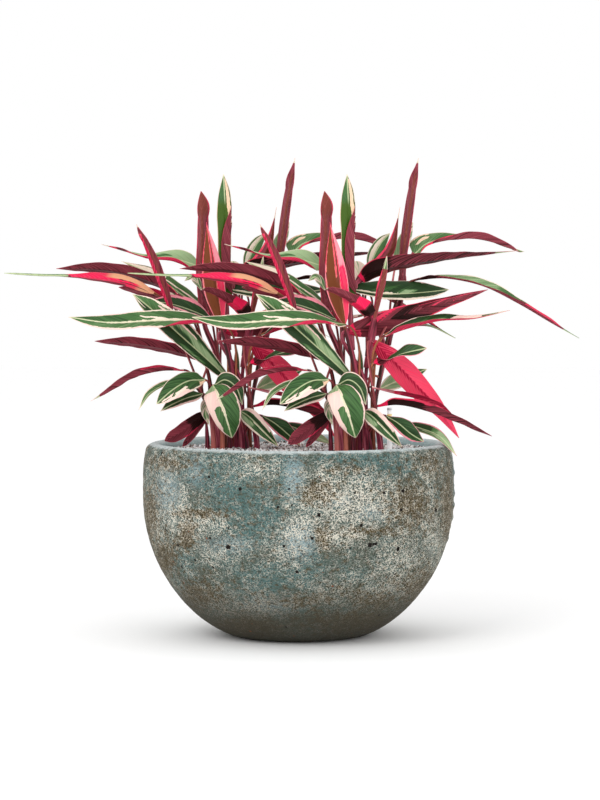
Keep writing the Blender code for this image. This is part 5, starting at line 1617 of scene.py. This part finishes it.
def weathered_glaze(look):
    """Stoneware under a reactive glaze, weathered: matt and gritty, teal under a broken crust.

    The crust's squiggles are 3 to 6 mm apart, as they are on the real one.
    """
    material, add, shader = new_material("weathered_reactive_glaze")
    place = place_mm(add)
    value = {name: add("value", attribute_name=name)
             for name in ("crust", "teal", "brown", "frost", "foot", "inner", "pit_near")}
    cloud = patterned(add, place, (0.022, 0.022, 0.026), 3.0)
    patch = patterned(add, place, (0.065, 0.065, 0.090), 4.0, (3.0, 9.0, 1.0))
    blotch = patterned(add, place, (0.11, 0.11, 0.15), 3.0, (23.0, 4.0, 8.0))
    squiggle = patterned(add, place, (0.23, 0.23, 0.27), 1.3, (7.0, 2.0, 5.0))
    fine = patterned(add, place, (0.42, 0.42, 0.46), 2.0, (1.0, 8.0, 3.0))
    speck = patterned(add, place, (0.30, 0.30, 0.34), 1.0, (11.0, 4.0, 6.0))

    # The crust is a lace of thin pale lines, which closes up where it is dense, with loose flakes.
    density = add("sum", value["crust"], 0.55, add("sum", patch, 1.3, -0.42))
    density = add("sum", cloud, 0.6, add("sum", value["teal"], -0.22, density))
    ridge = add("size", add("sum", squiggle, 1.0, -0.5))
    lace = add("rise", add("sum", ridge, -1.0, add("sum", density, 0.016, 0.034)), -0.006, 0.008)
    lace = add("product", lace, add("rise", density, -0.30, 1.20))
    flakes = add("rise", add("sum", density, 0.20, fine), 0.74, 0.80)
    crusted = add("larger", lace, add("product", flakes, 0.8))

    # The ground runs from moss to teal, and is frosted, veiled with ash, bare brown or specked.
    tealness = add("sum", value["teal"], 0.55, add("sum", cloud, 1.8, -0.62))
    tealness = add("sum", value["brown"], -0.5, add("sum", patch, 0.8, tealness))
    ground = shaded(add, tealness, look.moss, (0.2, 1.1, look.teal))
    ground = shaded(add, add("sum", blotch, 0.7, value["frost"]), ground, (0.45, 1.25, look.frost))
    ground = add("mix", add("product", add("rise", density, 0.2, 1.2), 0.30), ground, look.ash)
    # Near the bowl's edges and foot the brown is partly painted shade.
    browned = add("sum", value["brown"], 0.85, add("sum", blotch, 2.2, -0.88))
    ground = shaded(add, browned, ground, (0.15, 0.75, look.brown))
    specked = add("rise", add("sum", value["brown"], 0.07, speck), 0.51, 0.61)
    ground = add("mix", add("product", specked, 0.65), ground, look.shade)
    line_tone = add("sum", fine, 0.9, add("sum", density, 0.7, -0.42))
    crust = shaded(add, line_tone, look.ash, (0.0, 0.75, look.cream))
    crust = add("mix", add("product", add("rise", browned, 0.4, 0.9), 0.45), crust, look.sand)
    colour = add("mix", crusted, ground, crust)

    # Painted shade darkens the foot, rare flecks are rusty and the inside is thinly glazed.
    foot = add("sum", patch, 0.5, add("sum", value["foot"], 0.9, -0.25))
    colour = add("mix", add("product", add("rise", foot, 0.05, 0.90), 0.85), colour, look.foot)
    rare = patterned(add, place, 0.16, 0.0, (41.0, 3.0, 2.0))
    colour = shaded(add, rare, colour, (0.86, 0.89, look.ochre))
    inside = add("product", value["inner"], add("sum", fine, 0.6, 0.45))
    colour = add("mix", inside, colour, look.inside)
    # The rim is paler where it faces up.
    upward = add("split", add("facing"))[2]
    upward_pale = add("rise", add("sum", patch, 0.5, add("sum", upward, 1.0, -0.25)), 0.66, 0.98)
    colour = add("mix", add("product", upward_pale, add("rise", fine, 0.15, 0.55)), colour, look.rim)

    # Each pit is a ragged hollow, painted near black inside as painted shade.
    away = add("length", add("vector", attribute_name="pit"))
    hollow = add("rise", add("sum", fine, 0.9, add("sum", away, 1.0, -0.45)), 1.10, 0.75)
    pit_shade_mask = add("product", hollow, add("rise", value["pit_near"], 0.90, 0.99))
    colour = add("mix", pit_shade_mask, colour, look.pit)
    height = add("sum", fine, 0.6, add("product", pit_shade_mask, -1.2))
    height = add("sum", blotch, 0.8, add("sum", crusted, 0.7, height))
    fill(shader, {"Base Color": colour, "Normal": add("bump", height, 0.9, 0.0016),
                  "Roughness": 0.78, "Specular IOR Level": 0.15})
    return material


def turned_about(points, first, second, angle):
    """Points turned in the plane of two axes."""
    turned = points.copy()
    turned[:, first] = points[:, first] * math.cos(angle) - points[:, second] * math.sin(angle)
    turned[:, second] = points[:, first] * math.sin(angle) + points[:, second] * math.cos(angle)
    return turned


def make_grit(look):
    """The grit: a dark bed, painted shade for the gaps between grains, and loose angular grains
    over it.
    """
    draw = np.random.RandomState(5)
    edge = outer_radius(BOWL_HEIGHT - RIM_ROLL) - WALL - 0.001
    spacing = look.grain_spacing
    steps = int(edge / spacing) + 1
    corners = np.array([(1, 0, 0), (0, 1, 0), (-1, 0, 0), (0, -1, 0), (0, 0, 1), (0, 0, -1)], float)
    sides = [(0, 1, 4), (1, 2, 4), (2, 3, 4), (3, 0, 4), (1, 0, 5), (2, 1, 5), (3, 2, 5), (0, 3, 5)]
    bed = turned_points([(edge, GRIT_TOP - depth) for depth in BED_DEPTHS], RIM_COUNT)
    points = bed.reshape(-1, 3).tolist()
    faces = tube_faces(2, RIM_COUNT) + end_faces(2, RIM_COUNT)
    tones = [BED_SHADE_TONE] * len(points)
    for row in range(-steps, steps + 1):
        for column in range(-steps, steps + 1):
            scatter = draw.uniform(-GRAIN_SCATTER, GRAIN_SCATTER, 2)
            x, y = (np.array([column, row]) + scatter) * spacing
            if math.hypot(x, y) > edge - GRAIN_CLEARANCE:
                continue
            size = spacing * draw.uniform(*GRAIN_SIZES)
            grain = corners * size * draw.uniform(*GRAIN_STRETCH, (len(corners), 1))
            grain = turned_about(grain, 0, 1, draw.uniform(0.0, 2.0 * math.pi))
            grain = turned_about(grain, 1, 2, draw.uniform(-GRAIN_TILT, GRAIN_TILT))
            height = GRIT_TOP - GRAIN_SINK + draw.uniform(*GRAIN_HEIGHTS)
            first = len(points)
            points.extend((grain + np.array([x, y, height])).tolist())
            faces.extend([tuple(first + corner for corner in side) for side in sides])
            tones.extend([draw.uniform(0.0, 1.0)] * len(corners))
    return make_piece("loose_grit", points, faces, [crushed_grit(look)], {"tone": tones}, False)


def crushed_grit(look):
    """Crushed granite and quartz: dry, matt, angular grains from white to brown-grey."""
    material, add, shader = new_material("crushed_granite_grit")
    tone = add("ramp", add("value", attribute_name="tone"))
    ramp = tone.node.color_ramp
    ramp.interpolation = "CONSTANT"
    # The darkest band is painted shade for the gaps: the bed and some grains take it.
    bands = ((0.0, look.dark), (0.15, look.brown), (0.27, look.grey), (0.34, look.blue),
             (0.43, look.white))
    for number, (place, colour) in enumerate(bands):
        stop = ramp.elements[number] if number < 2 else ramp.elements.new(place)
        stop.position = place
        stop.color = (*colour, 1.0)
    dust = patterned(add, place_mm(add), 0.8, 3.0)
    colour = add("mix", add("product", dust, 0.08), tone, look.grey)
    fill(shader, {"Base Color": colour, "Normal": add("bump", dust, 0.5, 0.0005),
                  "Roughness": 0.85})
    return material


def potting_mix(look):
    """Peat and bark potting mix: dark, fibrous and dull, with crumbs 2 to 8 mm wide."""
    material, add, shader = new_material("peat_potting_mix")
    crumbs = patterned(add, place_mm(add), 0.25, 5.0)
    colour = shaded(add, crumbs, look.dark, (0.35, 0.65, look.brown))
    fill(shader, {"Base Color": colour, "Normal": add("bump", crumbs, 0.9, 0.003),
                  "Roughness": 0.95})
    return material


def frosted_acrylic(look, mark_height):
    """Extruded acrylic tube, frosted: milky, with its level mark in yellow.

    The tube glows a little, as painted light, so that it stays pale where the leaves shade it.
    """
    material, add, shader = new_material("frosted_acrylic_tube")
    cloud = patterned(add, place_mm(add), (0.3, 0.3, 0.04), 2.0)
    colour = add("mix", cloud, look.tube, WHITE)
    height = add("split", add("place"))[2]
    below = add("rise", height, mark_height - look.mark_height, mark_height)
    above = add("rise", height, mark_height + look.mark_height, mark_height)
    colour = add("mix", add("product", below, above), colour, look.mark)
    # The emission is painted light: the tube is no lamp.
    fill(shader, {"Base Color": colour, "Emission Color": colour, "Emission Strength": 0.30,
                  "Roughness": 0.35, "IOR": 1.49, "Transmission Weight": 0.1})
    return material


def moulded_plastic(name, colour):
    """Moulded polystyrene: an even colour with a slight satin grain, about 1 mm across."""
    material, add, shader = new_material(name)
    grain = patterned(add, place_mm(add), 0.9, 2.0)
    tint = add("mix", add("product", grain, 0.2), colour, WHITE)
    fill(shader, {"Base Color": tint, "Roughness": 0.4})
    return material


def studio_paper(look):
    """Matt studio paper: pale and dull, with faint fibre clouds half a metre across."""
    material, add, shader = new_material("matt_studio_paper")
    fibre = patterned(add, place_mm(add), 0.002, 2.0)
    tint = add("mix", add("product", fibre, 0.04), look.floor, WHITE)
    fill(shader, {"Base Color": tint, "Roughness": 0.9})
    return material


def colour_property(name, description, hex_colour):
    """A colour that a user can change."""
    return bpy.props.FloatVectorProperty(name=name, description=description, subtype="COLOR",
                                         size=3, min=0.0, max=1.0, default=linear(hex_colour))


def length_property(name, description, metres):
    """A length that a user can change."""
    return bpy.props.FloatProperty(name=name, description=description, default=metres, min=0.0,
                                   precision=5, subtype="DISTANCE", unit="LENGTH")


class StromantheLeafLook(bpy.types.PropertyGroup):
    """Sizes and colours of the leaves and stalks."""

    blade_thickness: length_property("Blade thickness", "Thickness of a leaf", 0.0005)
    edge_wave: length_property("Edge wave", "How far leaf edges ripple", 0.0006)
    petiole_radius: length_property("Petiole radius", "Radius below the blade", 0.0017)
    stalk_radius: length_property("Stalk radius", "Radius at the foot", 0.0044)
    dark_green: colour_property("Dark green", "Darkest upper green", "#24401f")
    green: colour_property("Green", "Middle upper green", "#476f3c")
    sage: colour_property("Sage", "Palest upper green", "#9db587")
    cream: colour_property("Cream", "Cream streaks", "#f9e6d2")
    blush: colour_property("Blush", "Pinkish cream", "#f6cfc6")
    pink: colour_property("Pink", "Pink on the upper side", "#ee7d93")
    midrib: colour_property("Midrib", "Upper midrib", "#cfd8a8")
    deep: colour_property("Deep maroon", "Darkest underside", "#250b0a")
    maroon: colour_property("Maroon", "Middle underside", "#82333f")
    wine: colour_property("Wine", "Lightest maroon", "#9e4c56")
    olive: colour_property("Olive brown", "Brown underside", "#7a4226")
    crimson: colour_property("Crimson", "Darkest pink", "#b8163f")
    rose: colour_property("Rose", "Middle pink", "#ee4a68")
    # Hot and shell pink are partly painted light shining through the thin leaf.
    hot: colour_property("Hot pink", "Brightest pink", "#ff2058")
    shell: colour_property("Shell pink", "Palest pink of the underside", "#f79aa6")
    straw: colour_property("Straw", "Warm cream", "#f3cbaa")
    leafy: colour_property("Leaf green", "Warm young green", "#3f5c12")
    peach: colour_property("Peach", "Peach streaks", "#f2b38a")
    stalk_shade: colour_property("Stalk shade", "Dark streaks of a stalk", "#3c1119")
    stalk_red: colour_property("Stalk red", "Body of a stalk", "#922f48")
    stalk_light: colour_property("Stalk light", "Light streaks of a stalk", "#cf6b7d")
    stalk_brown: colour_property("Stalk brown", "Dark golden stalk", "#6b4228")
    stalk_gold: colour_property("Stalk gold", "Light golden stalk", "#b87445")


class StromantheBowlLook(bpy.types.PropertyGroup):
    """Relief and colours of the bowl."""

    relief: length_property("Relief", "How far the glaze stands out", 0.0011)
    teal: colour_property("Teal", "Blue-green glaze", "#4a6a68")
    moss: colour_property("Moss", "Grey-green glaze", "#4d554a")
    brown: colour_property("Brown", "Bare brown body", "#51462f")
    shade: colour_property("Shade", "Dark specks", "#2f2d26")
    ash: colour_property("Ash", "Grey crust", "#838c87")
    frost: colour_property("Frost", "Pale blue-grey glaze", "#879fa4")
    cream: colour_property("Cream", "Cream crust", "#ded9ca")
    sand: colour_property("Sand", "Brownish crust", "#9c8661")
    ochre: colour_property("Ochre", "Rare rusty flecks", "#8e4a2a")
    # Painted shade: the colour the glaze darkens to towards the foot.
    foot: colour_property("Foot", "Dark body towards the foot", "#423e33")
    inside: colour_property("Inside", "Thin glaze of the inside", "#b6d2d4")
    # The colour of the rim where it faces up.
    rim: colour_property("Rim", "Worn pale rim", "#cdd8d8")
    # Painted shade inside a pit.
    pit: colour_property("Pit", "Inside of a pit", "#1a1512")


class StromantheGritLook(bpy.types.PropertyGroup):
    """Size and colours of the grit."""

    grain_spacing: length_property("Grain spacing", "Distance between grains", 0.0066)
    white: colour_property("White", "Quartz grains", "#fbfaf8")
    blue: colour_property("Pale blue", "Bluish grains", "#dfe8ed")
    grey: colour_property("Grey", "Grey grains", "#cbc6c1")
    brown: colour_property("Brown", "Brown-grey grains", "#8d7d72")
    dark: colour_property("Dark", "Shaded gaps", "#3b332e")


class StromantheSoilLook(bpy.types.PropertyGroup):
    """Colours of the potting mix."""

    dark: colour_property("Dark", "Damp peat", "#1f1610")
    brown: colour_property("Brown", "Dry fibres", "#49362a")


class StromantheGaugeLook(bpy.types.PropertyGroup):
    """Sizes and colours of the water gauge."""

    wall: length_property("Wall", "Wall of the tube", 0.0008)
    mark_below: length_property("Mark below", "From the top of the tube to its mark", 0.0125)
    mark_height: length_property("Mark height", "Half height of the mark", 0.0024)
    tube: colour_property("Tube", "Grey of the tube", "#f2f4f5")
    mark: colour_property("Mark", "Level mark", "#e6c23a")
    cap: colour_property("Cap", "Cap of the tube", "#e9ecee")


class StromantheStageLook(bpy.types.PropertyGroup):
    """The lights and the floor."""

    key: bpy.props.FloatProperty(name="Key light", description="Power of the main light",
                                 default=30.0, min=0.0, unit="POWER")
    fill: bpy.props.FloatProperty(name="Fill light", description="Power of the second light",
                                  default=16.0, min=0.0, unit="POWER")
    sky: bpy.props.FloatProperty(name="Sky", description="Strength of the light all round",
                                 default=1.0, min=0.0)
    floor: colour_property("Floor", "Pale studio floor", "#ffffff")


class STROMANTHE_OT_bowl(bpy.types.Operator):
    """Make the glazed bowl"""

    bl_idname = "stromanthe.bowl"
    bl_label = "Glazed bowl"

    def execute(self, context):
        look = context.scene.stromanthe_bowl
        bowl = make_bowl(look)
        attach(bowl, "root")
        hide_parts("bowl")
        return {"FINISHED"}


class STROMANTHE_OT_grit(bpy.types.Operator):
    """Lay the loose grit"""

    bl_idname = "stromanthe.grit"
    bl_label = "Loose grit"

    def execute(self, context):
        look = context.scene.stromanthe_grit
        grit = make_grit(look)
        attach(grit, "root")
        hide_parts("grit_top")
        return {"FINISHED"}


class STROMANTHE_OT_soil(bpy.types.Operator):
    """Finish the potting mix under the grit"""

    bl_idname = "stromanthe.soil"
    bl_label = "Potting mix"

    def execute(self, context):
        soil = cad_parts["potting_soil"]
        soil.data.materials.clear()
        soil.data.materials.append(potting_mix(context.scene.stromanthe_soil))
        return {"FINISHED"}


class STROMANTHE_OT_gauge(bpy.types.Operator):
    """Make the water gauge"""

    bl_idname = "stromanthe.gauge"
    bl_label = "Water gauge"

    def execute(self, context):
        look = context.scene.stromanthe_gauge
        low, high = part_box("water_gauge")
        spot = (low + high) / 2.0
        outside = (high.x - low.x) / 2.0
        inside = outside - look.wall
        tube = turned_piece("gauge_tube", [
            (NEAR_AXIS, low.z + 0.0004), (outside, low.z + 0.0004), (outside, high.z - 0.004),
            (inside, high.z - 0.004), (inside, low.z + 0.002), (NEAR_AXIS, low.z + 0.002),
        ], 32, spot, frosted_acrylic(look, high.z - look.mark_below))
        cap = turned_piece("gauge_cap", [
            (NEAR_AXIS, high.z - 0.0046), (outside, high.z - 0.0044), (outside, high.z - 0.0012),
            (outside * 0.8, high.z), (NEAR_AXIS, high.z),
        ], 32, spot, moulded_plastic("moulded_cap_plastic", look.cap))
        rod = turned_piece("gauge_float", [
            (NEAR_AXIS, low.z + 0.0026), (0.0011, low.z + 0.0026), (0.0011, high.z - 0.0205),
            (0.0024, high.z - 0.0205), (0.0024, high.z - 0.0170), (NEAR_AXIS, high.z - 0.0170),
        ], 20, spot, moulded_plastic("moulded_float_plastic", look.mark))
        for piece in (tube, cap, rod):
            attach(piece, "root")
        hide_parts("water_gauge")
        return {"FINISHED"}


class STROMANTHE_OT_plants(bpy.types.Operator):
    """Grow the leafy stems of both plants"""

    bl_idname = "stromanthe.plants"
    bl_label = "Leafy stems"

    def execute(self, context):
        look = context.scene.stromanthe_leaf
        materials = [waxy_leaf_upper(look), satin_leaf_underside(look), fibrous_stalk(look)]
        bends = find_bends()
        for side in PLANT_SHIFTS:
            for order, (key, stem) in enumerate(STEMS.items()):
                skin = Skin()
                seed = order * STEM_SEEDS
                add_stalk(skin, side, key, seed + STALK_SEED, look)
                for index in range(len(stem.leaves)):
                    add_leaf(skin, side, key, index, bends[side, key, index], seed + index, look)
                piece = skin.make(f"{side}_leafy_stem_{key}", materials)
                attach(piece, "root")
                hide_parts(f"{side}_stem_{key}")
        return {"FINISHED"}


def aimed(name, data, place, target):
    """A light or camera at a place, that looks at a point."""
    thing = bpy.data.objects.new(name, data)
    thing.location = place
    thing.rotation_euler = (Vector(target) - Vector(place)).to_track_quat("-Z", "Y").to_euler()
    bpy.context.scene.collection.objects.link(thing)
    return thing


def area_light(name, power, place, target, size):
    """A square soft light that looks at a point."""
    light = bpy.data.lights.new(name, "AREA")
    light.shape = "SQUARE"
    light.size = size
    light.energy = power
    aimed(name, light, place, target)


class STROMANTHE_OT_stage(bpy.types.Operator):
    """Set the floor, the lights and the camera"""

    bl_idname = "stromanthe.stage"
    bl_label = "Stage"

    def execute(self, context):
        look = context.scene.stromanthe_stage
        sides = ((-1, -1), (1, -1), (1, 1), (-1, 1))
        corners = [(x * FLOOR_REACH, y * FLOOR_REACH, -0.0002) for x, y in sides]
        floor = make_piece("floor", corners, [(0, 1, 2, 3)], [studio_paper(look)], smooth=False)
        world = bpy.data.worlds.new("studio")
        world.use_nodes = True
        fill(world.node_tree.nodes["Background"], {"Color": WHITE, "Strength": look.sky})
        context.scene.world = world
        area_light("key", look.key, *KEY_LIGHT)
        area_light("fill", look.fill, *FILL_LIGHT)
        context.scene.view_settings.view_transform = "Standard"
        lens = bpy.data.cameras.new("camera")
        lens.sensor_fit = "HORIZONTAL"
        lens.lens = lens.sensor_width * (AIM - EYE).length / (SHEET_STEP * SHEET_WIDTH)
        lens.clip_end = 60.0
        context.scene.camera = aimed("camera", lens, EYE, AIM)
        return {"FINISHED"}


class STROMANTHE_PT_panel(bpy.types.Panel):
    """Lists the pieces of the potted stromanthe"""

    bl_idname = "STROMANTHE_PT_panel"
    bl_label = "Potted stromanthe"
    bl_space_type = "VIEW_3D"
    bl_region_type = "UI"
    bl_category = "Stromanthe"

    def draw(self, context):
        for operator in OPERATORS:
            self.layout.operator(operator.bl_idname)


OPERATORS = (STROMANTHE_OT_bowl, STROMANTHE_OT_soil, STROMANTHE_OT_grit, STROMANTHE_OT_gauge,
             STROMANTHE_OT_plants, STROMANTHE_OT_stage)
LOOKS = {
    "stromanthe_leaf": StromantheLeafLook,
    "stromanthe_bowl": StromantheBowlLook,
    "stromanthe_grit": StromantheGritLook,
    "stromanthe_soil": StromantheSoilLook,
    "stromanthe_gauge": StromantheGaugeLook,
    "stromanthe_stage": StromantheStageLook,
}


def register():
    for kind in (*LOOKS.values(), *OPERATORS, STROMANTHE_PT_panel):
        bpy.utils.register_class(kind)
    for name, kind in LOOKS.items():
        setattr(bpy.types.Scene, name, bpy.props.PointerProperty(type=kind))


def unregister():
    for name in LOOKS:
        delattr(bpy.types.Scene, name)
    for kind in (*LOOKS.values(), *OPERATORS, STROMANTHE_PT_panel):
        bpy.utils.unregister_class(kind)


def main():
    """Make every piece in order."""
    register()
    bpy.ops.stromanthe.bowl()
    bpy.ops.stromanthe.soil()
    bpy.ops.stromanthe.grit()
    bpy.ops.stromanthe.gauge()
    bpy.ops.stromanthe.plants()
    bpy.ops.stromanthe.stage()


if __name__ == "__main__":
    main()
